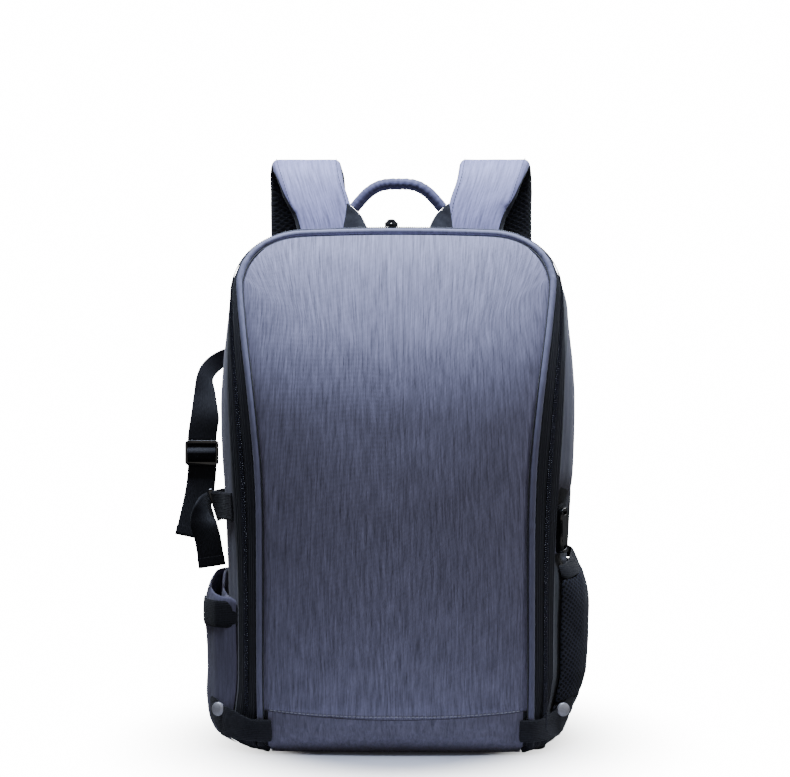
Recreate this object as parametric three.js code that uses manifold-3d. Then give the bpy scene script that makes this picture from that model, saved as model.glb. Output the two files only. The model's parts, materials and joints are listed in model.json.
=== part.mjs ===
// Camera backpack standing on its base, in millimetres.
// X runs to the right across the front, Y to the back, Z up. The origin is the middle of the base.
import * as THREE from 'three';
import Module from 'manifold-3d';
import { mergeVertices } from 'three/addons/utils/BufferGeometryUtils.js';

const wasm = await Module();
wasm.setup();

// Bag
const bagWidth = 330;           // across the widest part of the sides
const bagHeight = 466;           // base to the top of the piping
const flapReach = 86;            // piping in front of the origin
const backReach = 96;            // back wall behind the origin
const flapCrown = 13;            // middle of the flap in front of its piping
const topArch = 1.5;             // rise of the top edge between its corners
const bagHeel = 12;              // rounding of the lower edge, seen from the front
const pipingHeel = 7;
const shellWall = 5;             // padded sides, top, floor and back
const flapWall = 5;              // padded front flap
const basePanelWall = 3;
const seamGap = 0.3;             // clearance kept between neighbours

// Trim
const pipingRadius = 3;
const zipBandDepth = 20;         // zip band from the piping back to the side panel
const zipBandWall = 2.4;
const zipChainWidth = 6;
const zipChainHeight = 2;
const sliderLength = 12;
const sliderWidth = 8;
const sliderHeight = 5.4;
const sliderOffset = 5;          // slider left of the middle
const pullLength = 26;
const pullWidth = 7;
const pullThickness = 2;
const flapSeamHeight = 31;       // stitched seam under the flap, at the middle
const flapSeamRise = 7;          // how much higher that seam ends at the piping

// Pockets
const pocketWall = 2;
const tripodPocketBulge = 17;
const tripodMouthFront = 133;
const tripodMouthBack = 152;
const meshPocketBulge = 20;
const meshMouthFront = 163;
const meshMouthBack = 176;
const meshHemWidth = 12;
const bootHeight = 38;

// Webbing, tabs and hardware
const webbingWidth = 25;
const webbingThickness = 1.6;
const cornerStrapWidth = 20;
const cornerStrapHeight = 21;    // middle of the corner strap above the base, at the front
const cornerStrapRise = 8;       // its riveted end above that
const rivetDiameter = 14.5;
const rivetHeight = 2.6;
const lockWidth = 31;            // plastic adjusters, along their bars
const lockLength = 23;
const lockThickness = 3.6;
const lockBar = 3;
const buckleWidth = 29;
const buckleLength = 40;
const buckleThickness = 6.5;

// Handle and shoulder straps
const gripDiameter = 10.6;
const gripSpan = 82;             // between the ends of the grip
const gripTop = 517;             // highest point above the base
const handleDepth = 30;          // handle behind the origin
const handleTabSpan = 103;       // over both tabs at their feet
const handleTabWidth = 25;
const handleTabHeight = 27;
const handleTabDepth = 22;
const strapTop = 546;            // highest point of the shoulder straps
const strapFoot = 215;           // lower end of the padded straps
const strapReach = 62;           // padded straps behind the back wall
const strapThickness = 13;
const strapWidth = 77;
const strapRootSpacing = 141;    // between the middles of the straps where they are sewn on
const strapTopSpacing = 184;
const anchorSpacing = 236;       // between the middles of the lower webbing ends
const anchorHeight = 24;
const backPadWidth = 236;
const backPadBottom = 66;
const backPadTop = 424;
const backPadThickness = 11;

const halfWidth = bagWidth / 2;
const bagDepth = flapReach + backReach;

const fabric = (color, roughness = 0.85) => new THREE.MeshStandardMaterial({ color, roughness, metalness: 0 });
const twill = fabric('#5c5e74');
const topTwill = fabric('#b0bad4');
const blackTape = fabric('#12131a', 0.7);
const blackWebbing = fabric('#15171f', 0.75);
const meshCloth = fabric('#101117', 0.9);
const bootCloth = fabric('#2a2b34', 0.5);
const padding = fabric('#14161c', 0.95);
const plastic = fabric('#0e0e11', 0.3);
const rivetMetal = new THREE.MeshStandardMaterial({ color: '#88868f', roughness: 0.4, metalness: 0.9 });

// Front edge in side view: set back from its foremost line, as shares of the bag's height and depth
const faceRows = [
  { height: 0.000, setback: 0.092 },
  { height: 0.011, setback: 0.042 },
  { height: 0.030, setback: 0.017 },
  { height: 0.064, setback: 0.005 },
  { height: 0.130, setback: 0.000 },
  { height: 0.494, setback: 0.000 },
  { height: 0.644, setback: 0.012 },
  { height: 0.730, setback: 0.040 },
  { height: 0.815, setback: 0.093 },
  { height: 0.890, setback: 0.154 },
  { height: 0.944, setback: 0.209 },
  { height: 0.979, setback: 0.253 },
  { height: 1.000, setback: 0.291 },
];

// Half widths at rising heights, as shares of half the bag's width and of its height
const widthRows = [
  { height: 0.000, piping: 0.718, band: 0.842, bulge: 0.909, back: 0.855 },
  { height: 0.172, piping: 0.724, band: 0.845, bulge: 0.939, back: 0.891 },
  { height: 0.343, piping: 0.725, band: 0.852, bulge: 0.961, back: 0.915 },
  { height: 0.472, piping: 0.728, band: 0.870, bulge: 0.979, back: 0.933 },
  { height: 0.569, piping: 0.743, band: 0.888, bulge: 0.997, back: 0.939 },
  { height: 0.663, piping: 0.772, band: 0.903, bulge: 1.000, back: 0.933 },
  { height: 0.766, piping: 0.806, band: 0.911, bulge: 0.979, back: 0.903 },
  { height: 0.852, piping: 0.841, band: 0.907, bulge: 0.945, back: 0.861 },
  { height: 0.901, piping: 0.849, band: 0.890, bulge: 0.903, back: 0.812 },
];

// Top corners: where each starts, how far it reaches in, and the drop of its top edge
const outlines = {
  piping: { column: 'piping', cornerStart: 0.884, cornerReach: 0.394, drop: pipingRadius, heel: pipingHeel },
  band: { column: 'band', cornerStart: 0.848, cornerReach: 0.509, drop: 2, heel: bagHeel },
  bulge: { column: 'bulge', cornerStart: 0.815, cornerReach: 0.576, drop: 0, heel: bagHeel },
  back: { column: 'back', cornerStart: 0.790, cornerReach: 0.576, drop: 6, heel: bagHeel },
};
const cornerPower = 2.3;

// Stations of the side panel from its front edge to the back wall: depth as a share between the
// piping and the back wall, and the blend between two outlines
const bandShare = zipBandDepth / bagDepth;
const stations = [
  { depth: bandShare, from: 'band', to: 'bulge', blend: 0.00, inset: 0 },
  { depth: 0.20, from: 'band', to: 'bulge', blend: 0.42, inset: 0 },
  { depth: 0.33, from: 'band', to: 'bulge', blend: 0.78, inset: 0 },
  { depth: 0.58, from: 'band', to: 'bulge', blend: 1.00, inset: 0 },
  { depth: 0.80, from: 'bulge', to: 'back', blend: 0.30, inset: 0 },
  { depth: 0.93, from: 'bulge', to: 'back', blend: 0.90, inset: 0 },
  { depth: 1.00, from: 'bulge', to: 'back', blend: 1.00, inset: 7 },
];

const mix = (a, b, t) => a + (b - a) * t;
const clamp = THREE.MathUtils.clamp;
const range = (count) => Array.from({ length: count + 1 }, (_, i) => i / count);

// Smooth curve through one column of a table that never swings past its rows
function tableCurve(rows, key, column) {
  const x = rows.map((row) => row[key]);
  const y = rows.map((row) => row[column]);
  const slope = x.slice(1).map((right, i) => (y[i + 1] - y[i]) / (right - x[i]));
  const tangent = x.map((_, i) => {
    if (i === 0) return slope[0];
    if (i === x.length - 1) return slope[i - 1];
    const product = slope[i - 1] * slope[i];
    return product > 0 ? (2 * product) / (slope[i - 1] + slope[i]) : 0;
  });
  return (value) => {
    const at = clamp(value, x[0], x[x.length - 1]);
    const i = Math.max(0, x.findIndex((edge, k) => k > 0 && at <= edge) - 1);
    const span = x[i + 1] - x[i];
    const t = (at - x[i]) / span;
    const bend = t * t * (3 - 2 * t);
    const ease = t * (1 - t) * span;
    return mix(y[i], y[i + 1], bend) + ease * ((1 - t) * tangent[i] - t * tangent[i + 1]);
  };
}

const setbackAt = tableCurve(faceRows, 'height', 'setback');
const faceDepth = (z) => -flapReach + bagDepth * setbackAt(z / bagHeight);
const widthCurves = Object.fromEntries(['piping', 'band', 'bulge', 'back'].map(
  (column) => [column, tableCurve(widthRows, 'height', column)]));
const sideWidth = (column, z) => halfWidth * widthCurves[column](z / bagHeight);

// Right half of an outline, from the middle of the floor up and over to the middle of the top
function halfOutline(name, floor, inset) {
  const shape = outlines[name];
  const bottom = floor + inset;
  const heel = Math.max(shape.heel - inset, 1);
  const cornerZ = shape.cornerStart * bagHeight;
  const top = bagHeight - shape.drop - topArch - inset;
  const sideX = (z) => sideWidth(shape.column, z) - inset;
  const heelX = sideX(bottom + heel) - heel;
  const cornerX = sideWidth(shape.column, cornerZ) - shape.cornerReach * halfWidth;
  const reach = sideX(cornerZ) - cornerX;
  const points = [];
  for (const t of range(3)) points.push([mix(0, heelX, t), bottom]);
  for (const t of range(4).slice(1)) {
    const angle = (t * Math.PI) / 2;
    points.push([heelX + heel * Math.sin(angle), bottom + heel * (1 - Math.cos(angle))]);
  }
  for (const t of range(10).slice(1)) {
    const z = mix(bottom + heel, cornerZ, t);
    points.push([sideX(z), z]);
  }
  for (const t of range(8).slice(1)) {
    const angle = (t * Math.PI) / 2;
    const x = cornerX + reach * Math.cos(angle) ** (2 / cornerPower);
    const z = cornerZ + (top - cornerZ) * Math.sin(angle) ** (2 / cornerPower);
    points.push([t === 1 ? cornerX : x, z]);
  }
  for (const t of range(3).slice(1)) points.push([mix(cornerX, 0, t), top + topArch * t * (2 - t)]);
  return points;
}

const heelStart = 3;             // index of the point of a half outline where its heel begins
const sideStart = 7;             // and of the first point above the heel

// Closed loop of one station, as points on the bag
function stationLoop(station, floor, inset) {
  const from = halfOutline(station.from, floor, inset + station.inset);
  const to = halfOutline(station.to, floor, inset + station.inset);
  const half = from.map(([x, z], i) => [mix(x, to[i][0], station.blend), mix(z, to[i][1], station.blend)]);
  const place = (side) => ([x, z]) => {
    const y = mix(faceDepth(z), backReach, station.depth);
    return new THREE.Vector3(side * x, Math.min(y, backReach - inset), z);
  };
  const right = half.map(place(1));
  const left = half.slice(1, -1).reverse().map(place(-1));
  return [...right, ...left];
}

// Solid through rings of points, closed at both ends or joined end to start
function loft(rings, joined = false) {
  const count = rings[0].length;
  const faces = [];
  const last = joined ? rings.length : rings.length - 1;
  for (let i = 0; i < last; i += 1) {
    const here = i * count;
    const next = ((i + 1) % rings.length) * count;
    for (let k = 0; k < count; k += 1) {
      const m = (k + 1) % count;
      faces.push([here + k, here + m, next + m], [here + k, next + m, next + k]);
    }
  }
  if (!joined) {
    const end = (rings.length - 1) * count;
    let low = 0;
    let high = count - 1;
    const cap = (a, b, c) => faces.push([c, b, a], [end + a, end + b, end + c]);
    while (high - low > 1) {
      cap(low, low + 1, high);
      low += 1;
      if (high - low > 1) {
        cap(low, high - 1, high);
        high -= 1;
      }
    }
  }
  const points = rings.flat();
  const volume = faces.reduce((sum, [a, b, c]) => (
    sum + points[a].dot(new THREE.Vector3().crossVectors(points[b], points[c]))), 0);
  const outward = volume > 0 ? faces : faces.map(([a, b, c]) => [a, c, b]);
  const geometry = new THREE.BufferGeometry().setFromPoints(points);
  geometry.setIndex(outward.flat());
  geometry.computeVertexNormals();
  return geometry;
}

// Slab that follows a surface: point(u, v) gives the surface, the slab stands gap above it
function slab(point, columns, rows, gap, thickness, outside) {
  const step = 0.01;
  const normal = (u, v) => {
    const along = point(Math.min(u + step, 1), v).sub(point(Math.max(u - step, 0), v));
    const up = point(u, Math.min(v + step, 1)).sub(point(u, Math.max(v - step, 0)));
    const direction = along.cross(up).normalize();
    return direction.dot(outside) < 0 ? direction.negate() : direction;
  };
  const raised = (u, v, height) => point(u, v).addScaledVector(normal(u, v), height);
  return loft(range(columns).map((u) => [
    ...range(rows).map((v) => raised(u, v, gap)),
    ...range(rows).reverse().map((v) => raised(u, v, gap + thickness)),
  ]));
}

// Strip swept along a path; across(t) points along its width, section(t) lists [width, thickness] offsets
function sweep(curve, across, section, steps) {
  return loft(range(steps).map((t) => {
    const centre = curve.getPoint(t);
    const forward = curve.getTangent(t);
    const wide = across(t);
    wide.addScaledVector(forward, -wide.dot(forward)).normalize();
    const out = new THREE.Vector3().crossVectors(wide, forward);
    return section(t).map(([a, b]) => centre.clone().addScaledVector(wide, a).addScaledVector(out, b));
  }));
}

const flatSection = (width, thickness) => [
  [-width / 2, -thickness / 2], [width / 2, -thickness / 2],
  [width / 2, thickness / 2], [-width / 2, thickness / 2],
];

function roundSection(width, thickness, sides, power = 2) {
  return range(sides).slice(1).map((t) => {
    const angle = 2 * Math.PI * t;
    const swell = (value) => Math.sign(value) * Math.abs(value) ** (2 / power);
    return [(width / 2) * swell(Math.cos(angle)), (thickness / 2) * swell(Math.sin(angle))];
  });
}

const curveThrough = (points) => new THREE.CatmullRomCurve3(points, false, 'centripetal');

const bag = new THREE.Group();

function addPiece(name, geometry, material) {
  const mesh = new THREE.Mesh(geometry, material.clone());
  mesh.name = name;
  bag.add(mesh);
  return mesh;
}

// Main compartment: a padded tub, open at the front behind the flap
const tubFloor = basePanelWall + seamGap;
const outerLoops = stations.map((station) => stationLoop(station, tubFloor, 0));
const innerLoops = stations.slice(0, -1).map((station) => stationLoop(station, tubFloor, shellWall));
addPiece('main_shell', loft([...innerLoops.reverse(), ...outerLoops]), twill);

// Half width of one station's loop at a height
function loopWidth(loop, z) {
  const half = loop.slice(heelStart, Math.floor(loop.length / 2));
  const above = clamp(half.findIndex((point) => point.z >= z), 1, half.length - 1);
  const low = half[above - 1];
  const t = clamp((z - low.z) / (half[above].z - low.z), 0, 1);
  return mix(low.x, half[above].x, t);
}

// Point on the outside of the tub's right side at a depth share and height
function shellPoint(depth, z) {
  const i = clamp(stations.findIndex((station) => depth <= station.depth), 1, stations.length - 1);
  const t = (depth - stations[i - 1].depth) / (stations[i].depth - stations[i - 1].depth);
  const x = mix(loopWidth(outerLoops[i - 1], z), loopWidth(outerLoops[i], z), t);
  return new THREE.Vector3(x, mix(faceDepth(z), backReach, depth), z);
}

// The same point lifted off the side, on the right or mirrored to the left
function offShell(side, depth, z, lift) {
  const along = shellPoint(depth + 0.03, z).sub(shellPoint(depth - 0.03, z));
  const up = shellPoint(depth, z + 5).sub(shellPoint(depth, z - 5));
  const point = shellPoint(depth, z).addScaledVector(along.cross(up).normalize(), lift);
  return new THREE.Vector3(side * point.x, point.y, point.z);
}

// Height of the tub's top at a place behind the flap
function shellTop(y) {
  const tops = outerLoops.map((loop) => loop[Math.floor(loop.length / 2)]);
  const i = clamp(tops.findIndex((point) => y <= point.y), 1, tops.length - 1);
  const t = (y - tops[i - 1].y) / (tops[i].y - tops[i - 1].y);
  return mix(tops[i - 1].z, tops[i].z, clamp(t, 0, 1));
}

// Route over the bag from the left foot to the right foot, on one outline
const trimFoot = pipingRadius + seamGap;
function trimRoute(name, depth, outward) {
  const half = halfOutline(name, trimFoot, 0).slice(heelStart);
  const flat = [...half.map(([x, z]) => [-x, z]), ...half.slice(0, -1).reverse()];
  return flat.map(([x, z], i) => {
    const [x0, z0] = flat[Math.max(i - 1, 0)];
    const [x1, z1] = flat[Math.min(i + 1, flat.length - 1)];
    const length = Math.hypot(x1 - x0, z1 - z0);
    const height = Math.max(z + ((x1 - x0) / length) * outward, seamGap);
    const aside = x - ((z1 - z0) / length) * outward;
    return new THREE.Vector3(aside, mix(faceDepth(height), backReach, depth), height);
  });
}

// Piping along the flap's edge
const pipingRoute = trimRoute('piping', 0, 0);
const pipingFit = seamGap + 0.2; // its bends are cut straight, so its neighbours stand a little off
addPiece('piping', sweep(curveThrough(pipingRoute), () => new THREE.Vector3(0, 1, 0),
  () => roundSection(2 * pipingRadius, 2 * pipingRadius, 8), pipingRoute.length - 1), twill);

// Zip band from the piping to the side panel, with its chain down the middle
const bandFront = trimRoute('piping', 0.012, pipingRadius + pipingFit);
const bandEnd = bandShare - (2 * seamGap) / bagDepth;
const bandBack = trimRoute('band', bandEnd, 0);
const bandBackInside = trimRoute('band', bandEnd, -zipBandWall);
const bandRings = bandFront.map((front, i) => {
  const back = bandBack[i];
  const before = bandFront[Math.max(i - 1, 0)];
  const after = bandFront[Math.min(i + 1, bandFront.length - 1)];
  const across = back.clone().sub(front);
  const out = new THREE.Vector3().crossVectors(after.clone().sub(before), across).normalize();
  const middle = front.clone().lerp(back, 0.5).addScaledVector(out, 1);
  return { front, middle, back, inside: bandBackInside[i], out, across: across.normalize() };
});
addPiece('zipper_band', loft(bandRings.map(({ front, middle, back, inside, out }) => [
  front, middle, back, inside,
  middle.clone().addScaledVector(out, -zipBandWall),
  front.clone().setY(front.y + zipBandWall),
])), blackTape);
const chainSection = [[-0.5, 0], [-0.3, 1], [0.3, 1], [0.5, 0]];
const chainRings = bandRings.filter(({ middle }) => middle.z > bagHeel); // it ends above the rounded edge
addPiece('zipper_chain', loft(chainRings.map(({ middle, out, across }) => chainSection.map(([a, b]) => (
  middle.clone().addScaledVector(across, a * zipChainWidth)
    .addScaledVector(out, 2 * seamGap + b * zipChainHeight))))), blackTape);

// Flap: a patch between the two pipings, blended from its four edges
const flapRim = halfOutline('piping', trimFoot, 0).slice(sideStart)
  .map(([x, z], i, all) => {
    const [x0, z0] = all[Math.max(i - 1, 0)];
    const [x1, z1] = all[Math.min(i + 1, all.length - 1)];
    const length = Math.hypot(x1 - x0, z1 - z0);
    const inward = pipingRadius + pipingFit;
    return new THREE.Vector2(x - ((z1 - z0) / length) * inward, z + ((x1 - x0) / length) * inward);
  });
const seamHeight = (share) => flapSeamHeight + flapSeamRise * share * share;
const flapSide = new THREE.SplineCurve([
  new THREE.Vector2(sideWidth('piping', seamHeight(1)) - pipingRadius - pipingFit, seamHeight(1) + seamGap),
  ...flapRim.filter((point, i) => point.y > seamHeight(1) + 12 && i <= 14),
]);
const flapTopEdge = new THREE.SplineCurve(flapRim.slice(14));
const crownRows = [
  { height: 0.00, crown: 0.10 }, { height: 0.03, crown: 0.55 }, { height: 0.12, crown: 0.95 },
  { height: 0.45, crown: 1.00 }, { height: 0.75, crown: 0.90 }, { height: 0.92, crown: 0.45 },
  { height: 1.00, crown: 0.15 },
];
const crownAt = tableCurve(crownRows, 'height', 'crown');

function flapSkin(share, z, x) {
  const crown = flapCrown * crownAt(z / bagHeight) * (1 - Math.abs(share) ** 2.4);
  return new THREE.Vector3(x, faceDepth(z) - 1 - crown, z);
}

function flapPoint(share, rise) {
  const side = flapSide.getPoint(rise);
  const bottomX = flapSide.getPoint(0).x * Math.abs(share);
  const bottomZ = seamHeight(share) + seamGap;
  const top = flapTopEdge.getPoint(1 - Math.abs(share));
  const corner = flapSide.getPoint(1);
  const foot = flapSide.getPoint(0);
  const m = Math.abs(share);
  const x = mix(bottomX, top.x, rise) + m * side.x - m * mix(foot.x, corner.x, rise);
  const middleZ = mix(seamHeight(0) + seamGap, flapTopEdge.getPoint(1).y, rise);
  const z = mix(bottomZ, top.y, rise) + mix(middleZ, side.y, m)
    - mix(mix(seamHeight(0) + seamGap, foot.y, m), mix(flapTopEdge.getPoint(1).y, corner.y, m), rise);
  return flapSkin(share, z, Math.sign(share) * x);
}

const flapShares = range(12).map((t) => 2 * t - 1);
addPiece('front_panel', loft(range(18).map((rise) => {
  const outer = flapShares.map((share) => flapPoint(share, rise));
  const inner = outer.map((point) => point.clone().add(new THREE.Vector3(0, flapWall, 0))).reverse();
  return [...outer, ...inner];
})), topTwill);

// Base panel: the strip under the flap, turned under and run back below the tub
const basePlateHalf = sideWidth('band', 0) - outlines.band.heel / 2;
const lipEdge = trimRoute('piping', 0, -pipingRadius - pipingFit).slice(-8).reverse();
function lipHalf(z) {
  const above = clamp(lipEdge.findIndex((point) => point.z >= z), 1, lipEdge.length - 1);
  const low = lipEdge[above - 1];
  const t = clamp((z - low.z) / (lipEdge[above].z - low.z), 0, 1);
  return mix(low.x, lipEdge[above].x, t) - 3 * seamGap;
}
const plateStart = mix(faceDepth(0), backReach, bandShare) + 6;
const plateEnd = backReach - 10;
const lipRows = range(6).map((t) => ({ drop: Math.sin((t * Math.PI) / 2) ** 0.8 }));
const baseRings = lipRows.map(({ drop }) => {
  const outer = flapShares.map((share) => {
    const z = mix(seamHeight(share), 0, drop);
    return flapSkin(share, z, share * lipHalf(z));
  });
  const lean = clamp((faceDepth(seamHeight(0) * (1 - drop)) + flapReach) / 20, 0, 1);
  const inward = new THREE.Vector3(0, basePanelWall * (1 - 0.5 * lean), basePanelWall * lean);
  return [...outer, ...outer.map((point) => point.clone().add(inward)).reverse()];
});
const plateRows = [[plateStart - 12, lipHalf(0)], [plateStart, basePlateHalf], [plateEnd - 14, basePlateHalf],
  [plateEnd, basePlateHalf - 14]];
plateRows.forEach(([y, half]) => {
  const outer = flapShares.map((share) => new THREE.Vector3(share * half, y, 0));
  baseRings.push([...outer, ...outer.map((point) => point.clone().setZ(basePanelWall)).reverse()]);
});
addPiece('bottom_panel', loft(baseRings), twill);

// Side pockets: crescent shells that bulge from the side panel between two sewn edges
const pocketFit = 0.6;
const heelFit = 1.5;             // more clearance where the lower edge is rounded
const swellAcross = (share) => Math.sin(Math.PI * clamp(share, 0, 1)) ** 0.5;

function pocketPlace(pocket, share, z) {
  const base = shellPoint(mix(pocket.front, pocket.back, share), z);
  base.x += mix(heelFit, 0, THREE.MathUtils.smoothstep(z, bagHeel, 2 * bagHeel)) + pocketFit;
  const bulge = pocket.bulge * pocket.swell(z) * swellAcross(share);
  return { base: base.x, outer: base.x + bulge, y: base.y };
}

const pocketShares = range(10);
const tuck = 0.1;                // share of the width at each sewn edge where both layers meet
function pocketRing(pocket, heightAt, inside) {
  const spot = (share, layer) => {
    const at = inside ? mix(tuck, 1 - tuck, share) : share;
    const z = heightAt(at);
    const place = pocketPlace(pocket, at, z);
    const wall = inside ? pocketWall : 0;
    const x = layer === 'outer' ? place.outer - wall : place.base + wall;
    return new THREE.Vector3(pocket.side * x, place.y, z);
  };
  return [
    ...pocketShares.map((share) => spot(share, 'outer')),
    ...pocketShares.slice(1, -1).reverse().map((share) => spot(share, 'base')),
  ];
}

// Shell between two heights; a cup has a floor, a sleeve is open above and below
function pocketShell(pocket, bottomAt, topAt, rises, floorRise) {
  const level = (rise) => (share) => mix(bottomAt(share), topAt(share), rise);
  const outside = rises.map((rise) => pocketRing(pocket, level(rise), false));
  const insideRises = floorRise > 0 ? [floorRise, ...rises.filter((rise) => rise > floorRise)] : rises;
  const inside = insideRises.map((rise) => pocketRing(pocket, level(rise), true)).reverse();
  return loft([...outside, ...inside], floorRise === 0);
}

const mouthLine = (front, back) => (share) => mix(front, back, THREE.MathUtils.smoothstep(share, 0, 0.8));

const tripodFloor = 5;
const tripodMouth = mouthLine(tripodMouthFront, tripodMouthBack);
const tripodSwell = tableCurve([
  { rise: 0.00, swell: 0.10 }, { rise: 0.07, swell: 0.50 }, { rise: 0.14, swell: 0.78 },
  { rise: 0.24, swell: 0.96 }, { rise: 0.45, swell: 1.00 }, { rise: 0.75, swell: 1.00 },
  { rise: 0.88, swell: 0.90 }, { rise: 1.00, swell: 0.64 },
], 'rise', 'swell');
const tripodPocket = {
  side: -1, front: 0.135, back: 0.80, bulge: tripodPocketBulge,
  swell: (z) => tripodSwell((z - tripodFloor) / (tripodMouthBack - tripodFloor)),
};
const tripodRises = [0, 0.05, 0.11, 0.18, 0.3, 0.5, 0.75, 0.9, 1];
addPiece('tripod_pocket', pocketShell(tripodPocket, () => tripodFloor, tripodMouth, tripodRises, 0.11), twill);

const bootFloor = 4;
const meshMouth = mouthLine(meshMouthFront, meshMouthBack);
const meshSwell = tableCurve([
  { rise: 0.00, swell: 0.08 }, { rise: 0.06, swell: 0.42 }, { rise: 0.12, swell: 0.70 },
  { rise: 0.21, swell: 0.93 }, { rise: 0.45, swell: 1.00 }, { rise: 0.74, swell: 0.97 },
  { rise: 0.86, swell: 0.84 }, { rise: 1.00, swell: 0.60 },
], 'rise', 'swell');
const meshPocket = {
  side: 1, front: 0.17, back: 0.82, bulge: meshPocketBulge,
  swell: (z) => meshSwell((z - bootFloor) / (meshMouthBack - bootFloor)),
};
const bootBow = 8;               // its upper edge rises by this at the middle
const bootTop = (share) => bootHeight + bootBow * Math.sin(Math.PI * share);
const hemBottom = (share) => meshMouth(share) - meshHemWidth;
addPiece('pocket_boot', pocketShell(meshPocket, () => bootFloor, (share) => bootTop(share) - seamGap,
  [0, 0.14, 0.3, 0.5, 0.75, 1], 0.3), bootCloth);
addPiece('mesh_pocket', pocketShell(meshPocket, bootTop, (share) => hemBottom(share) - seamGap,
  [0, 0.25, 0.5, 0.75, 0.9, 1], 0), meshCloth);
addPiece('mesh_pocket_hem', pocketShell(meshPocket, hemBottom, meshMouth, [0, 0.5, 1], 0), blackTape);

// Skin that a corner strap lies on: flap edge, piping, zip band, then the side pocket
function cornerSkin(pocket, reach, z) {
  const piping = sideWidth('piping', z);
  const front = faceDepth(z);
  const bandX = sideWidth('band', z);
  const bandY = mix(front, backReach, bandShare);
  const stops = [
    [piping - 10, front - 2.6], [piping - 4, front - 3.1], [piping + 1, front - pipingRadius - 0.2],
    [mix(piping, bandX, 0.45) + 0.8, mix(front, bandY, 0.28) - 2.8], [bandX - 1.5, bandY - 6],
  ];
  for (const share of [0.03, 0.07, 0.12, 0.18, reach]) {
    const place = pocketPlace(pocket, share, z);
    stops.push([place.outer + 0.6, place.y - 0.6]);
  }
  return curveThrough(stops.map(([x, y]) => new THREE.Vector3(pocket.side * x, y, z)));
}

const rivetProfile = [
  [0, 0], [0.5, 0], [0.5, 0.35], [0.42, 0.72], [0.25, 0.94], [0, 1],
].map(([across, up]) => new THREE.Vector2(across * rivetDiameter, up * rivetHeight));

function addCorner(name, pocket, reach) {
  const low = cornerStrapHeight - cornerStrapWidth / 2;
  const taper = (u) => Math.sqrt(clamp(1 - ((u - 0.9) / 0.115) ** 2, 0.12, 1));
  const point = (u, v) => {
    const narrowed = u > 0.9 ? mix(0.5, v, taper(u)) : v;
    const rise = cornerStrapRise * THREE.MathUtils.smoothstep(u, 0.5, 1);
    return cornerSkin(pocket, reach, low + rise + narrowed * cornerStrapWidth).getPoint(u);
  };
  const outside = new THREE.Vector3(pocket.side, -1, 0).normalize();
  addPiece(`corner_strap_${name}`, slab(point, 20, 3, 0.5, webbingThickness, outside), blackWebbing);
  const u = 0.88;
  const centre = point(u, 0.5);
  const along = point(u + 0.05, 0.5).sub(point(u - 0.05, 0.5));
  const up = point(u, 0.8).sub(point(u, 0.2));
  const normal = along.cross(up).normalize();
  if (normal.dot(outside) < 0) normal.negate();
  const rivet = addPiece(`rivet_${name}`, new THREE.LatheGeometry(rivetProfile, 14), rivetMetal);
  rivet.position.copy(centre).addScaledVector(normal, 0.5 + webbingThickness + 0.6);
  rivet.quaternion.setFromUnitVectors(new THREE.Vector3(0, 1, 0), normal);
}
addCorner('left', tripodPocket, 0.3);
addCorner('right', meshPocket, 0.24);

// Black strap across the tripod pocket, below its mouth
const pocketStrapTop = tripodMouthFront - 1;
addPiece('pocket_strap', slab((u, v) => {
  const z = pocketStrapTop - webbingWidth * (1 - v);
  const place = pocketPlace(tripodPocket, mix(0.02, 0.62, u), z);
  return new THREE.Vector3(-place.outer, place.y, z);
}, 14, 2, 0.4, webbingThickness, new THREE.Vector3(-1, -0.5, 0)), blackWebbing);

// Right side above the mesh pocket: black patch, side-release buckle and its two straps
const buckleRise = 31;           // middle of the buckle above the mesh pocket's mouth
const buckleMiddle = meshMouthFront + buckleRise;
const hemHeight = buckleMiddle + buckleLength / 2 + 7; // lower edge of the grey side panel at the buckle
const patchWall = 1.2;
const patchFront = 0.15;
const patchBack = 0.62;
addPiece('side_patch', slab((u, v) => {
  const depth = mix(patchFront, patchBack, u);
  const pocketShare = (depth - meshPocket.front) / (meshPocket.back - meshPocket.front);
  const low = meshMouth(pocketShare) + 1.5;
  return shellPoint(depth, mix(low, hemHeight - 6 + 16 * u, v));
}, 10, 4, 0.4, patchWall, new THREE.Vector3(1, -0.3, 0)), blackTape);

const buckleShare = 0.30;
const sideStack = 0.4 + patchWall + seamGap;
function strapOnSide(low, high, front, back, gap, thickness) {
  return slab((u, v) => shellPoint(mix(front, back, u), mix(low, high, v)), 4, 4, gap, thickness,
    new THREE.Vector3(1, -0.3, 0));
}
addPiece('buckle_tab', strapOnSide(buckleMiddle + 8, hemHeight - 3, 0.235, 0.365, sideStack, webbingThickness),
  blackWebbing);
addPiece('buckle_strap', strapOnSide(meshMouthFront + 10, buckleMiddle - 6, 0.205, 0.365, sideStack,
  webbingThickness), twill);

// Closed solid of a geometry, and slots cut through a plate that is centred on the XY plane
function solidOf(geometry) {
  const bare = geometry.clone();
  bare.deleteAttribute('normal');
  bare.deleteAttribute('uv');
  const merged = mergeVertices(bare);
  return new wasm.Manifold(new wasm.Mesh({
    numProp: 3,
    vertProperties: Float32Array.from(merged.attributes.position.array),
    triVerts: Uint32Array.from(merged.index.array),
  }));
}

function cutSlots(plate, slots) {
  let solid = solidOf(plate);
  for (const { wide, low, high } of slots) {
    const box = new THREE.BoxGeometry(wide, high - low, 30).translate(0, (low + high) / 2, 0);
    solid = solid.subtract(solidOf(box));
  }
  const mesh = solid.getMesh();
  const geometry = new THREE.BufferGeometry();
  geometry.setAttribute('position', new THREE.BufferAttribute(Float32Array.from(mesh.vertProperties), 3));
  geometry.setIndex(Array.from(mesh.triVerts));
  geometry.computeVertexNormals();
  return geometry;
}

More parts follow.
